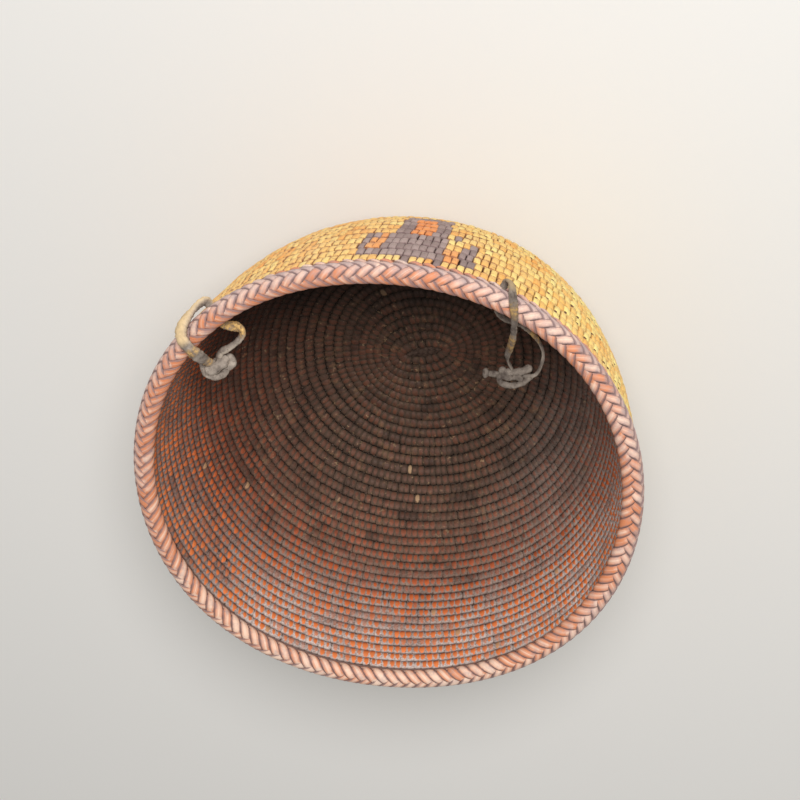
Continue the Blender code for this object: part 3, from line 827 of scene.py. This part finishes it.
def rimMaterial():
    # "under" is 1 where a splint dives under another, and "side" -1 inside the rim and 1 outside it
    looks = rimLooks
    material, tree, place, (tone, across, along, under, side) = openMaterial(
        "rimSplint", "tone", "across", "along", "under", "side")
    y = tree.parts(place)[1]
    patches, wide, fine, rubbed = tree.noises(place, looks["noises"])
    grain = fibres(tree, across, along, tone, 6.0)
    red = (patches - 0.5) * 1.8 + (tone - 0.5) * 3.4 + (wide - 0.5) * 2.8 - side * 1.3 + 0.42
    far = y.smooth(0.05, 0.13)
    # painted highlight: paler along each strand's middle and on the far side of the rim, varied by tone and
    # grain
    shine = (tone - 0.5) * -2.6 + (0.5 - abs(across)) * 1.3 + (grain - 0.5) * 1.8 + far * 0.6 - 0.1
    sideWeight = (-y).smooth(0.0, 0.1) * 0.18
    worn = rubbed * 2.2 - 1.06 + (fine - 0.5) * 1.6 + sideWeight
    worn = (worn + side.smooth(-0.2, 0.9) * 0.65).clamp() * 0.8
    # painted shade: darker along each strand's edges and where it dives under another
    edge = (abs(across) + (fine - 0.5) * 0.5).smooth(0.46, 0.84).high(under.smooth(0.34, 0.85))
    colour = tree.coats(looks["pink"], (red.clamp(), looks["orange"]), (shine.clamp() * 0.8, looks["cream"]),
                        (worn, looks["grey"]), (edge * 0.85, looks["edge"]))
    return closeMaterial(material, tree, colour, 0.5 + worn * 0.3, grain, 0.35 * mm)


thongLooks = {
    "dark": tint(84, 74, 68),
    "light": tint(184, 170, 156),
    "spot": tint(70, 56, 48),
    "rim": tint(196, 180, 160),
    "cream": tint(240, 208, 158),        # where the pale outer skin is left
    "tornDark": tint(120, 84, 50),
    "tornLight": tint(232, 190, 122),
    "dim": tint(58, 48, 42),
    "noises": {"wide": (150.0, 5.0, 0.65), "spots": (520.0, 3.0, 0.6), "fine": (1500.0, 3.0, 0.6)},
}


def thongMaterial():
    looks = thongLooks
    material, tree, place, (across, torn, cream) = openMaterial("buckskin", "across", "torn", "cream")
    wide, spots, fine = tree.noises(place, looks["noises"])
    ragged = tree.mix((spots * 2.4 - 0.7).clamp(), looks["tornDark"], looks["tornLight"])
    dim = 1 - tree.parts(place)[0].smooth(-0.02, 0.06)       # the right thong is darker
    colour = tree.coats(looks["dark"],
                        ((wide * 2.6 - 0.85).clamp(), looks["light"]),
                        (spots.smooth(0.56, 0.7) * 0.6, looks["spot"]),
                        (abs(across).smooth(0.8, 1.0) * 0.4, looks["rim"]),
                        ((cream * (wide * 1.6 + 0.1)).clamp() * 0.9, looks["cream"]),
                        ((torn * (spots * 3.4 - 0.9)).clamp(), ragged),
                        (dim * 0.45, looks["dim"]))
    return closeMaterial(material, tree, colour, 0.85, wide * 0.4 + spots * 0.3 + fine * 0.3, 0.6 * mm, 0.2)


def floorMaterial():
    material, tree, place, _ = openMaterial("paleFloor")
    colour = tree.mix(tree.noise(place, 3.0, 2.0) * 0.15, tint(232, 230, 226), tint(222, 219, 214))
    return closeMaterial(material, tree, colour, 0.8, specular=0.2)


insideSplint = insideSplintMaterial()
outsideSplint = outsideSplintMaterial()
bundle = bundleMaterial()
rimSplint = rimMaterial()
buckskin = thongMaterial()
foldMaterials = {kind: foldMaterial(kind) for kind in foldLooks}
print("materials made")

# Coils

coil = {
    "bulge": 1.7 * mm,               # depth of the groove between two rounds
    "recess": 0.25 * mm,             # how far the bundle lies under the stitches' edges
    "samples": 6,                    # along a round's section, inside
    "outsideSamples": 4,
    "round": 90,                     # facets round the bowl
}
ringShell = ribbedShell("ringShell", True)
discShell = ribbedShell("discShell", False)


def coilShell(name, group, node, lowest, highest, courses, ribStart, ribStep):
    piece = growPiece(name, group, {
        "Lowest arc": lowest, "Highest arc": highest, "Rib start": ribStart, "Rib step": ribStep,
        "Thickness": bowl["wall"], "Bulge": coil["bulge"], "Recess": coil["recess"],
        "Inside samples": courses * coil["samples"] + 1,
        "Outside samples": courses * coil["outsideSamples"] + 1,
        "Round": coil["round"], "Material": bundle}, "coil")
    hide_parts(node)


upperCourses = bowl["upperCourses"]
lowerCourses = bowl["wallCourses"] - upperCourses
coilShell("upperWallCoil", ringShell, "upper_wall_coil", courseArc(upperCourses), courseArc(0),
          upperCourses, skinTop, bowl["course"])
coilShell("lowerWallCoil", ringShell, "lower_wall_coil", courseArc(bowl["wallCourses"]),
          courseArc(upperCourses), lowerCourses, skinTop, bowl["course"])
coilShell("baseCoil", discShell, "base_coil", 0.0, baseArc, baseRounds, baseArc, baseCourse)
print("bowl coiled")

# Sewing splints, inside and out: "depth" is from the inside of the wall, and "facing" is 1 outwards

insideStitch = {
    "width": 5.6 * mm,
    "height": 6.6 * mm,
    "puff": 0.45 * mm,
    "arch": 1.6 * mm,
    "corner": 0.16,                  # how much the corners are rounded off
    "spacing": 3.9 * mm,
    "depth": 0.05 * mm,
    "facing": -1.0,
    "lean": 0.14,                    # radians from upright
    "wander": 0.35,
    "material": insideSplint,
    "slot": "coil",
}
outsideStitch = {
    **insideStitch,
    "width": 3.9 * mm,
    "height": 6.4 * mm,
    "puff": 0.7 * mm,
    "arch": 1.4 * mm,
    "depth": bowl["wall"] - 0.1 * mm,
    "facing": 1.0,
    "material": outsideSplint,
}
baseSink = 0.8 * mm                  # the stitches under the base lie this much deeper
stitchGroup = sewnRows("sewnRows")
foldGroup = sewnRows("foldRows", folds=True)
insideStitch["shape"] = pillow("insideStitchShape", insideStitch)
outsideStitch["shape"] = pillow("outsideStitchShape", outsideStitch)


def stitchRows(name, stitch, firstArc, rowCount, firstRow, seed, rowStep=bowl["course"],
               group=stitchGroup, keep=0.0):
    return growPiece(name, group, {
        "Stitch": stitch["shape"], "First arc": firstArc, "Row step": rowStep, "Rows": rowCount,
        "First row": firstRow, "Spacing": stitch["spacing"], "Depth": stitch["depth"],
        "Facing": stitch["facing"], "Lean": stitch["lean"], "Wander": stitch["wander"], "Keep": keep,
        "Seed": seed, "Material": stitch["material"]}, stitch["slot"])


def insideRows(name, firstCourse, rowCount, seed):
    stitchRows(name, insideStitch, courseArc(firstCourse + 0.5), rowCount, firstCourse, seed)


def baseRows(name, stitch, firstRow, seed):
    stitchRows(name, stitch, baseArc - baseCourse / 2, baseRounds, firstRow, seed, baseCourse)


# Row numbers go on from piece to piece, so that no two share a pattern
insideRows("upperInsideStitches", 0, upperCourses, 11)
insideRows("lowerInsideStitches", upperCourses, lowerCourses, 23)
baseRows("baseInsideStitches", insideStitch, 40, 37)
lastFold = int(foldCourse(bowl["foldRows"]))
stitchRows("lowerOutsideStitches", outsideStitch, courseArc(lastFold + 0.5),
           bowl["wallCourses"] - lastFold, 60, 41)
baseRows("baseOutsideStitches", {**outsideStitch, "depth": outsideStitch["depth"] - baseSink}, 80, 43)
print("coils sewn")

# Imbrication: strips folded under each outside stitch

fold = {
    "width": 5.0 * mm,
    "height": 10.6 * mm,
    "puff": 1.4 * mm,
    "arch": 0.3 * mm,
    "corner": 0.12,
    "spacing": 4.2 * mm,
    "depth": bowl["wall"] + bowl["gap"] * 0.5,
    "facing": 1.0,
    "lean": 0.05,
    "wander": 0.35,
}
fold["shape"] = pillow("foldShape", fold)


def foldPiece(name, kind, firstRow, rowCount, seed):
    return stitchRows(name, {**fold, "material": foldMaterials[kind], "slot": kind},
                      courseArc(foldCourse(firstRow + 0.5)), rowCount, firstRow, seed,
                      bowl["course"] * bowl["foldRow"], foldGroup, figure["kinds"][kind])


upperGrass = foldPiece("upperGrassFolds", "grass", 0, figure["rows"], 51)
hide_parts("grass_field")
foldPiece("lowerGrassFolds", "grass", figure["rows"], bowl["foldRows"] - figure["rows"], 53)
barkFolds = foldPiece("barkFolds", "bark", 0, figure["rows"], 57)
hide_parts(*nodesNamed("bark_"))
cherryFolds = foldPiece("cherryFolds", "cherry", 0, figure["rows"], 59)
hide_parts(*nodesNamed("cherry_"))
print("strips folded")

# Rim course: the last round, overcast with slanting splints

rimCourse = {
    "thickness": bowl["wall"] + bowl["fold"] * 0.5,
    "bulge": 1.2 * mm,
    "samples": 8,
    "reach": 0.28,                   # courses from the braid to the middle of the slanting splints
}
overcast = {
    "width": 3.9 * mm,
    "height": 9.5 * mm,
    "puff": 1.3 * mm,
    "arch": 0.7 * mm,
    "corner": 0.3,
    "spacing": 6.9 * mm,
    "depth": rimCourse["thickness"],
    "facing": 1.0,
    "lean": -1.02,
    "wander": 0.3,
    "material": rimSplint,
    "slot": "rim",
}
rimShell = growPiece("rimCourseCoil", ringShell, {
    "Lowest arc": skinTop, "Highest arc": topArc, "Rib start": topArc, "Rib step": bowl["course"],
    "Thickness": rimCourse["thickness"], "Bulge": rimCourse["bulge"], "Recess": coil["recess"],
    "Inside samples": rimCourse["samples"], "Outside samples": rimCourse["samples"], "Round": coil["round"],
    "Material": bundle}, "rim")
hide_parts("rim_course")
insideRows("rimInsideStitches", -1, 1, 61)
overcast["shape"] = pillow("overcastShape", overcast)
stitchRows("rimOvercast", overcast, topArc - bowl["course"] * rimCourse["reach"], 1, 90, 67)

# False braid: seven passes of splint plaited over the rim, over two and under two

braid = {
    "strands": 7,
    "periods": 18,                   # of each splint round the rim
    "overlap": 1.06,                 # width against the room between two splints
    "narrowest": 3.4 * mm,
    "thickness": 1.5 * mm,
    "lift": 0.5 * mm,                # over and under
    "crest": 35.0,                   # degrees from the top, outwards, where a splint is halfway across
    "reach": 100.0,                  # degrees from there to where it turns back
    "bias": -30.0,                   # degrees that the turns lie further in
    "turn": 0.96,                    # how sharp the turns are
    "dive": 0.3,                     # share of the way out from the middle at which it goes under
    "legEdge": 2.5,                  # how suddenly the way out becomes the way back
    "diveEdge": 6,                   # and over becomes under
    "samples": 40,                   # rings in one period
    "sides": 8,
}
core = {                             # the coil that the braid covers
    "inset": 2.0 * mm,
    "sink": bowl["gap"] + 1.4 * mm,  # how far it reaches down to the rim course
    "round": 180,
    "sides": 14,
}


def braidStrands():
    tree = newGeometryTree("plaitedRim", {"Phase": "Float", "Samples": "Int", "Sides": "Int",
                                          "Thickness": "Float", "Lift": "Float", "Material": "Material"})
    sides, thickness = tree.given("Sides"), tree.given("Thickness")
    sheet, azimuth, index = roundSheet(tree, tree.given("Samples"), sides + 1)
    section = index.modulo(sides) / sides * fullTurn
    phase = azimuth * braid["periods"] + tree.given("Phase")
    turnAngle = math.asin(braid["turn"])
    way = phase.sin() * braid["turn"]
    share = way.maths("ARCSINE") / turnAngle             # -1 inside the rim, 1 outside
    speed = phase.cos() * braid["turn"] / (1 - way * way).root() / turnAngle
    swing = share * math.radians(braid["reach"]) + share * share * math.radians(braid["bias"])
    swing = swing + math.radians(braid["crest"])
    slope = speed * (share * math.radians(2 * braid["bias"]) + math.radians(braid["reach"]))
    slew = slope * (braid["periods"] * bowl["braidWidth"] / 2)
    leg = (phase.cos() * braid["legEdge"]).within(-1.0, 1.0)     # 1 on the way out, -1 on the way back
    over = ((abs(share) - braid["dive"]) * braid["diveEdge"]).within(-1.0, 1.0) * leg
    rise = over * tree.given("Lift") - thickness / 2 - braid["lift"]
    radius = swing.sin() * (rise + bowl["braidWidth"] / 2) + bowl["rimRadius"]
    height = swing.cos() * (rise + bowl["braidHeight"] / 2) + rimHeight
    outward = tree.vector(azimuth.cos() * swing.sin(), azimuth.sin() * swing.sin(), swing.cos())
    sideways = tree.vector(azimuth.cos() * swing.cos(), azimuth.sin() * swing.cos(), -swing.sin())
    forward = tree.vector(-azimuth.sin(), azimuth.cos())
    path = tree.vectorMaths("NORMALIZE", tree.blend((forward, bowl["rimRadius"]), (sideways, slew)))
    steep = abs(slew) / (slew * slew + bowl["rimRadius"] ** 2).root()
    room = fullTurn * bowl["rimRadius"] / braid["strands"] / braid["periods"]
    width = (steep * room * braid["overlap"]).high(braid["narrowest"])
    wide = tree.vectorMaths("CROSS_PRODUCT", path, outward)
    place = tree.sumOf(ringPlace(tree, radius, height, azimuth),
                       tree.blend((wide, section.cos() * width * 0.5),
                                  (outward, section.sin() * thickness * 0.5)))
    lozenge = (phase * (3 / math.pi) + 0.5).floor() * 7.3        # each has a tone of its own
    tone = tree.noise(tree.vector(lozenge, tree.given("Phase") * 9), 1.0)
    sheet = tree.store(sheet, across=section.cos(), along=phase / math.pi, under=0.5 - over * 0.5, side=share,
                       tone=tone)
    return closeTree(tree, tree.placed(sheet, place), tubeMerge)


def braidCore():
    tree = newGeometryTree("braidCore", {"Round": "Int", "Sides": "Int", "Inset": "Float", "Sink": "Float",
                                         "Material": "Material"})
    sides, inset, sink = (tree.given(each) for each in ("Sides", "Inset", "Sink"))
    sheet, azimuth, index = roundSheet(tree, tree.given("Round"), sides + 1)
    section = index.modulo(sides) / sides * fullTurn
    radius = section.cos() * (bowl["braidWidth"] / 2 - inset) + bowl["rimRadius"]
    height = section.sin() * (bowl["braidHeight"] + sink - inset) / 2 - (inset + sink) / 2 + rimHeight
    # under is 1 all over, so the core takes the rim's painted shade colour
    sheet = tree.placed(tree.store(sheet, under=1.0), ringPlace(tree, radius, height, azimuth))
    return closeTree(tree, sheet, tubeMerge)


strandTree = braidStrands()
braidPieces = [growPiece("braidSplint" + str(number + 1), strandTree, {
    "Phase": number * fullTurn / braid["strands"], "Samples": braid["periods"] * braid["samples"],
    "Sides": braid["sides"], "Thickness": braid["thickness"], "Lift": braid["lift"],
    "Material": rimSplint}, "rim") for number in range(braid["strands"])]
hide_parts("rim_braid")
growPiece("braidCoreCoil", braidCore(), {
    "Round": core["round"], "Sides": core["sides"], "Inset": core["inset"], "Sink": core["sink"],
    "Material": rimSplint}, "rim")
for stitch in (insideStitch, outsideStitch, fold, overcast):
    bpy.data.objects.remove(stitch["shape"])
print("rim plaited")

# Thongs: one strip each, through the awl hole, over the rim and into its knot.
# Routes: azimuth in degrees, then millimetres out from the braid's middle line and up from it.
# Widths: share of the strip's length, and millimetres. Cream and torn stretches: shares too.
# Turns of the knot: width and thickness of the strip, then right, up and out of the knot, all in millimetres

leftThong = {
    "hole": (326.5, 0.6, -8.5),
    "overRim": [(325.9, 6.8, -8.4), (326.5, 8.8, -6.2), (328.9, 9.0, -2.0), (331.6, 7.8, 3.6),
                (333.0, 4.0, 7.6), (333.8, -3.0, 7.8), (334.7, -9.6, 5.0), (335.8, -14.5, 0.6)],
    "inside": [(327.1, -5.6, -8.6), (327.0, -9.8, -9.8), (325.4, -14.4, -10.6), (325.3, -18.4, -10.4),
               (327.6, -20.4, -9.6), (331.2, -19.8, -8.4), (333.4, -18.4, -7.2)],
    "knot": (337.0, -21.5, -5.4),
    "widths": [(0.0, 4.6), (0.2, 5.0), (0.36, 5.2), (0.42, 3.2), (0.5, 6.0), (0.6, 7.4), (0.74, 7.2),
               (0.88, 6.4), (1.0, 4.8)],
    "bend": 5,                       # the point of "overRim" at the hinge
    "cream": [(0.42, 0.76)],
    "torn": [(0.20, 0.36), (0.80, 0.83), (0.93, 0.97)],
    "turns": [
        (6.2, 3.0, [(-6.6, -2.6, 1.0), (-3.2, -2.4, 2.8), (0.6, -0.6, 3.6), (3.6, 2.2, 3.0),
                    (5.6, 4.8, 1.0)]),
        (3.8, 3.4, [(-7.4, 2.2, -0.6), (-7.2, -1.6, 0.2), (-4.4, -5.0, 0.8), (0.4, -5.9, 1.0),
                    (4.2, -3.6, 0.8), (5.6, -0.4, 0.0)]),
        (4.2, 3.8, [(3.2, -1.2, -0.8), (7.0, -0.2, 0.4), (8.4, 2.2, 0.6), (7.2, 4.6, 0.2),
                    (5.2, 5.0, -1.2)]),
        (5.0, 3.4, [(-6.0, 3.2, -0.6), (-3.6, 0.6, 0.4), (0.0, 2.2, 0.6), (3.4, 4.6, -0.4)]),
        (6.4, 4.4, [(-4.0, -1.0, -1.8), (0.0, 0.6, -1.4), (4.0, 2.0, -1.8)]),
    ],
}
rightThong = {
    "hole": (257.5, 0.6, -8.5),
    "overRim": [(257.7, 6.8, -8.4), (256.9, 9.2, -3.6), (255.9, 7.4, 3.6), (253.6, 0.0, 7.6),
                (251.8, -7.2, 5.6), (250.2, -14.0, 2.2), (248.6, -21.5, -1.4), (246.8, -29.0, -4.6)],
    "inside": [(257.3, -5.6, -8.6), (255.4, -11.6, -10.0), (252.6, -13.0, -10.4), (249.2, -10.6, -9.6),
               (244.6, -12.0, -8.8), (241.0, -15.4, -8.6), (238.6, -21.0, -8.6), (237.2, -28.0, -8.6)],
    "knot": (240.4, -36.0, -8.0),
    "widths": [(0.0, 2.1), (0.15, 2.1), (0.22, 2.8), (0.28, 4.0), (0.38, 4.4), (0.44, 3.0), (0.5, 4.0),
               (0.6, 4.4), (0.74, 3.6), (0.82, 4.2), (0.92, 3.4), (1.0, 2.4)],
    "bend": 4,
    "cream": [(0.53, 0.60)],
    "torn": [(0.20, 0.25), (0.66, 0.70), (0.80, 0.88)],
    "turns": [
        (4.2, 3.6, [(-6.9, 5.0, 0.0), (-6.4, 2.6, 1.6), (-1.4, 2.2, 2.6), (3.4, 2.8, 2.4), (6.4, 4.2, 1.6),
                    (8.2, 5.2, 1.0)]),
        (3.2, 2.8, [(8.6, 1.0, -0.4), (3.6, -3.2, 0.6), (-2.8, -4.6, 0.8), (-8.2, -2.8, 0.6),
                    (-7.8, 0.2, 1.4), (-4.0, -0.6, 2.2), (0.8, -0.4, 2.4), (3.6, -2.4, 1.0)]),
        (3.4, 3.0, [(5.0, 2.0, -1.6), (0.0, 0.8, -1.4), (-6.6, 1.2, -0.4), (-11.6, 1.6, 0.0),
                    (-14.6, 1.9, 0.2)]),
        (5.6, 5.4, [(-14.2, 1.8, 0.2), (-16.2, 2.1, 0.2), (-17.4, 2.2, 0.2)]),
    ],
}
strip = {
    "flat": 0.62,                    # thickness against width
    "square": 0.85,                  # its section: 1 is an oval, and less is squarer
    "ripple": 0.09,                  # how much the width varies
    "rippleWaves": 31,               # radians of its waves, from end to end
    "step": 0.9 * mm,
    "knotStep": 0.7,                 # of the step, in the knot's turns
    "knotLength": 40,                # steps of the knot that ripple as much as a whole strip
    "sides": 12,
    "facingLimit": 0.8,              # past this the strip runs at the braid, and keeps its facing
    "facingEase": 0.5,
    "tuck": 0.35,                    # how far from the knot's middle the strip ends
    "soft": 0.03,                    # share of its length in which a cream or torn stretch fades
    "blunt": 0.15,                   # of the rounded end that is left off
    "hingeReach": 3 * mm,            # half the stretch that a swing of the loop would bend; the loop is not swung here
    "layHeight": 54.8,               # how the knots lie: degrees up from level, and turned
    "layRoll": 196.2,
}
curveSteps = 12                      # between two points of a route


def smoothRoute(points, spacing):    # even points along a smooth curve
    points = [np.array(point) for point in points]
    ends = [2 * points[0] - points[1]] + points + [2 * points[-1] - points[-2]]
    dense = []
    for a, b, c, d in zip(ends, ends[1:], ends[2:], ends[3:]):
        for t in np.linspace(0.0, 1.0, curveSteps, endpoint=False):
            dense.append(0.5 * (2 * b + (c - a) * t + (2 * a - 5 * b + 4 * c - d) * t ** 2
                                + (3 * b - a - 3 * c + d) * t ** 3))
    dense = np.array(dense + [points[-1]])
    length = np.concatenate([[0.0], np.cumsum(np.linalg.norm(np.diff(dense, axis=0), axis=1))])
    even = np.linspace(0.0, length[-1], max(4, round(length[-1] / spacing) + 1))
    return np.stack([np.interp(even, length, dense[:, axis]) for axis in range(3)], axis=1)


def unit(vector):
    return vector / np.linalg.norm(vector)


def headingAt(route, index):
    return unit(route[min(index + 1, len(route) - 1)] - route[max(index - 1, 0)])


def awayFromBraid(point):
    azimuth = math.degrees(math.atan2(point[1], point[0]))
    return unit(point - np.array(rimPoint(azimuth, 0.0, 0.0)))


def squared(value):
    return math.copysign(abs(value) ** strip["square"], value)


class StripMesh:                     # gathers the strips of one thong into one mesh
    def __init__(self):
        self.verts = []
        self.faces = []
        self.numbers = {"across": [], "cream": [], "torn": []}

    def add(self, route, widths, normals, creams, torns, flat):
        sides = strip["sides"]
        first = len(self.verts)
        for i, point in enumerate(route):
            ahead = headingAt(route, i)
            normal = unit(normals[i] - ahead * np.dot(normals[i], ahead))
            sideways = np.cross(ahead, normal)
            for step in range(sides):
                angle = fullTurn * step / sides
                side, deep = squared(math.cos(angle)), squared(math.sin(angle))
                place = point + sideways * (side * widths[i] / 2) + normal * (deep * flat * widths[i] / 2)
                self.verts.append(tuple(place))
                self.numbers["across"].append(side)
                self.numbers["cream"].append(creams[i] * (0.5 + 0.5 * deep))
                self.numbers["torn"].append(torns[i])
        for i in range(len(route) - 1):
            a = first + i * sides
            b = a + sides
            for step in range(sides):
                following = (step + 1) % sides
                self.faces.append((a + step, a + following, b + following, b + step))
        self.faces.append(list(range(first + sides - 1, first - 1, -1)))
        end = first + (len(route) - 1) * sides
        self.faces.append(list(range(end, end + sides)))

    def build(self, name):
        mesh = newMesh(name, self.verts, self.faces, self.numbers)
        mesh.materials.append(buckskin)
        return newObject(name, mesh)


def stretchesOf(share, stretches):   # 1 inside a stretch of the strip, 0 away from it
    inside = [min(share - start, end - share) / strip["soft"] + 0.5 for start, end in stretches]
    return min(1.0, max(0.0, max(inside)))


def ripple(rng, place):              # leather is never quite even
    return 1 + strip["ripple"] * (math.sin(place * strip["rippleWaves"]) + rng.uniform(-1, 1))


def layStrip(gather, thong, rng):
    inside = [rimPoint(*point) for point in reversed(thong["inside"])]
    outside = [rimPoint(*point) for point in thong["overRim"]]
    hole = np.array(rimPoint(*thong["hole"]))
    knot = np.array(rimPoint(*thong["knot"]))
    ends = [knot + (np.array(end) - knot) * strip["tuck"] for end in (inside[0], outside[-1])]
    route = smoothRoute([ends[0]] + inside + [hole] + outside + [ends[1]], strip["step"])
    shares = np.linspace(0.0, 1.0, len(route))
    normal = np.array([0.0, 0.0, -1.0])
    normals = []
    for i, point in enumerate(route):
        ahead = headingAt(route, i)
        away = awayFromBraid(point)
        if abs(away.dot(ahead)) < strip["facingLimit"]:
            normal = normal + (away - normal) * strip["facingEase"]
        normal = unit(normal - ahead * normal.dot(ahead))
        normals.append(normal)
    places, sizes = zip(*thong["widths"])
    widths = [np.interp(share, places, sizes) * mm * ripple(rng, share) for share in shares]
    creams, torns = ([stretchesOf(share, thong[each]) for share in shares] for each in ("cream", "torn"))
    gather.add(route, widths, normals, creams, torns, strip["flat"])


def tieKnot(gather, thong, rng):     # the turns of the strip round itself, with rounded ends
    tilt, roll = math.radians(strip["layHeight"]), math.radians(strip["layRoll"])
    out = np.array([0.0, -math.cos(tilt), math.sin(tilt)])
    level = np.array([1.0, 0.0, 0.0])
    steep = np.cross(out, level)
    right = level * math.cos(roll) + steep * math.sin(roll)
    up = steep * math.cos(roll) - level * math.sin(roll)
    centre = np.array(rimPoint(*thong["knot"]))
    for width, thickness, points in thong["turns"]:
        laid = [centre + (right * x + up * y + out * z) * mm for x, y, z in points]
        route = smoothRoute(laid, strip["step"] * strip["knotStep"])
        last = len(route) - 1
        cap = width * mm / 2
        step = np.linalg.norm(route[1] - route[0])
        widths = []
        for i in range(last + 1):
            fromEnd = min(1.0, (min(i, last - i) * step + strip["blunt"] * cap) / cap)
            rounded = math.sqrt(1 - (1 - fromEnd) ** 2)
            widths.append(width * mm * rounded * ripple(rng, i / strip["knotLength"]))
        plain = [0.0] * (last + 1)
        gather.add(route, widths, [out] * (last + 1), plain, plain, thickness / width)


def makeThong(side, thong, seed):
    rng = random.Random(seed)
    gather = StripMesh()
    layStrip(gather, thong, rng)
    tieKnot(gather, thong, rng)
    piece = finishPiece(gather.build(side + "Thong"))
    over = rimPoint(*thong["overRim"][thong["bend"]])
    under = rimPoint(*thong["inside"][0])
    axis = (over - under).normalized()
    pivot = (over + under) / 2
    inward = rimPoint(*thong["knot"]) - pivot
    inward = (inward - axis * inward.dot(axis)).normalized() * strip["hingeReach"]
    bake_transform(piece)
    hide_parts(*nodesNamed(side + "_thong_"))


makeThong("left", leftThong, 5)
makeThong("right", rightThong, 9)
print("thongs tied")

# Floor, light and camera

studio = {
    "floor": 1.6,                    # half width, in metres
    "keyTurn": 270.0,
    "keyHeight": 50.0,               # degrees above the floor
    "keyDistance": 1.6,
    "keySize": 0.7,
    "keyPower": 24.0,
    "fill": 0.37,                    # strength of the world as light
    "backdrop": 0.92,                # and its strength as it is seen
    "air": tint(252, 251, 249),
}


def layFloor():
    half = studio["floor"]
    corners = [(-half, -half, 0), (half, -half, 0), (half, half, 0), (-half, half, 0)]
    mesh = newMesh("floor", corners, [(0, 1, 2, 3)])
    mesh.materials.append(floorMaterial())
    newObject("floor", mesh)


def hangLamp():
    lamp = bpy.data.lights.new("keyLamp", "AREA")
    lamp.shape = "DISK"
    lamp.size = studio["keySize"]
    lamp.energy = studio["keyPower"]
    angle, tilt = math.radians(studio["keyTurn"]), math.radians(studio["keyHeight"])
    direction = Vector((math.cos(angle) * math.cos(tilt), math.sin(angle) * math.cos(tilt), math.sin(tilt)))
    holder = newObject("keyLamp", lamp)
    holder.location = Vector((0, 0, rimHeight)) + direction * studio["keyDistance"]
    holder.rotation_euler = direction.to_track_quat("Z", "Y").to_euler()


def fillWorld():
    world = bpy.data.worlds.new("studio")
    world.use_nodes = True
    world.node_tree.nodes.clear()
    tree = Tree(world.node_tree)
    seen = tree.node("ShaderNodeLightPath", None, None, "Is Camera Ray")
    strength = seen * (studio["backdrop"] - studio["fill"]) + studio["fill"]
    background = tree.node("ShaderNodeBackground", None, {"Color": studio["air"], "Strength": strength})
    tree.node("ShaderNodeOutputWorld", None, {"Surface": background})
    bpy.context.scene.world = world


view = {
    "elevation": 54.79,              # degrees, from the middle of the rim
    "roll": 196.19,
    "yaw": 0.597,                    # turns that put the basket where the photograph has it
    "pitch": 3.245,
    "distance": 0.8780,
    "lens": 72.0,
    "sensor": 36.0,
}


def setCamera():
    elevation, roll = math.radians(view["elevation"]), math.radians(view["roll"])
    back = Vector((0.0, -math.cos(elevation), math.sin(elevation)))
    right = (-back).cross(Vector((0, 0, 1))).normalized()
    up = right.cross(-back)
    right, up = (right * math.cos(roll) + up * math.sin(roll), up * math.cos(roll) - right * math.sin(roll))
    forward = (-back + right * math.tan(math.radians(view["yaw"]))
               + up * math.tan(math.radians(view["pitch"]))).normalized()
    right = forward.cross(up).normalized()
    up = right.cross(forward)
    camera = bpy.data.cameras.new("camera")
    camera.lens = view["lens"]
    camera.sensor_width = view["sensor"]
    holder = newObject("camera", camera)
    spot = Vector((0, 0, rimHeight)) + back * view["distance"]
    turned = Matrix((right, up, -forward)).transposed().to_4x4()
    holder.matrix_world = Matrix.Translation(spot) @ turned
    bpy.context.scene.camera = holder


layFloor()
hangLamp()
fillWorld()
setCamera()
bpy.context.scene.view_settings.view_transform = "Standard"
print("studio ready")
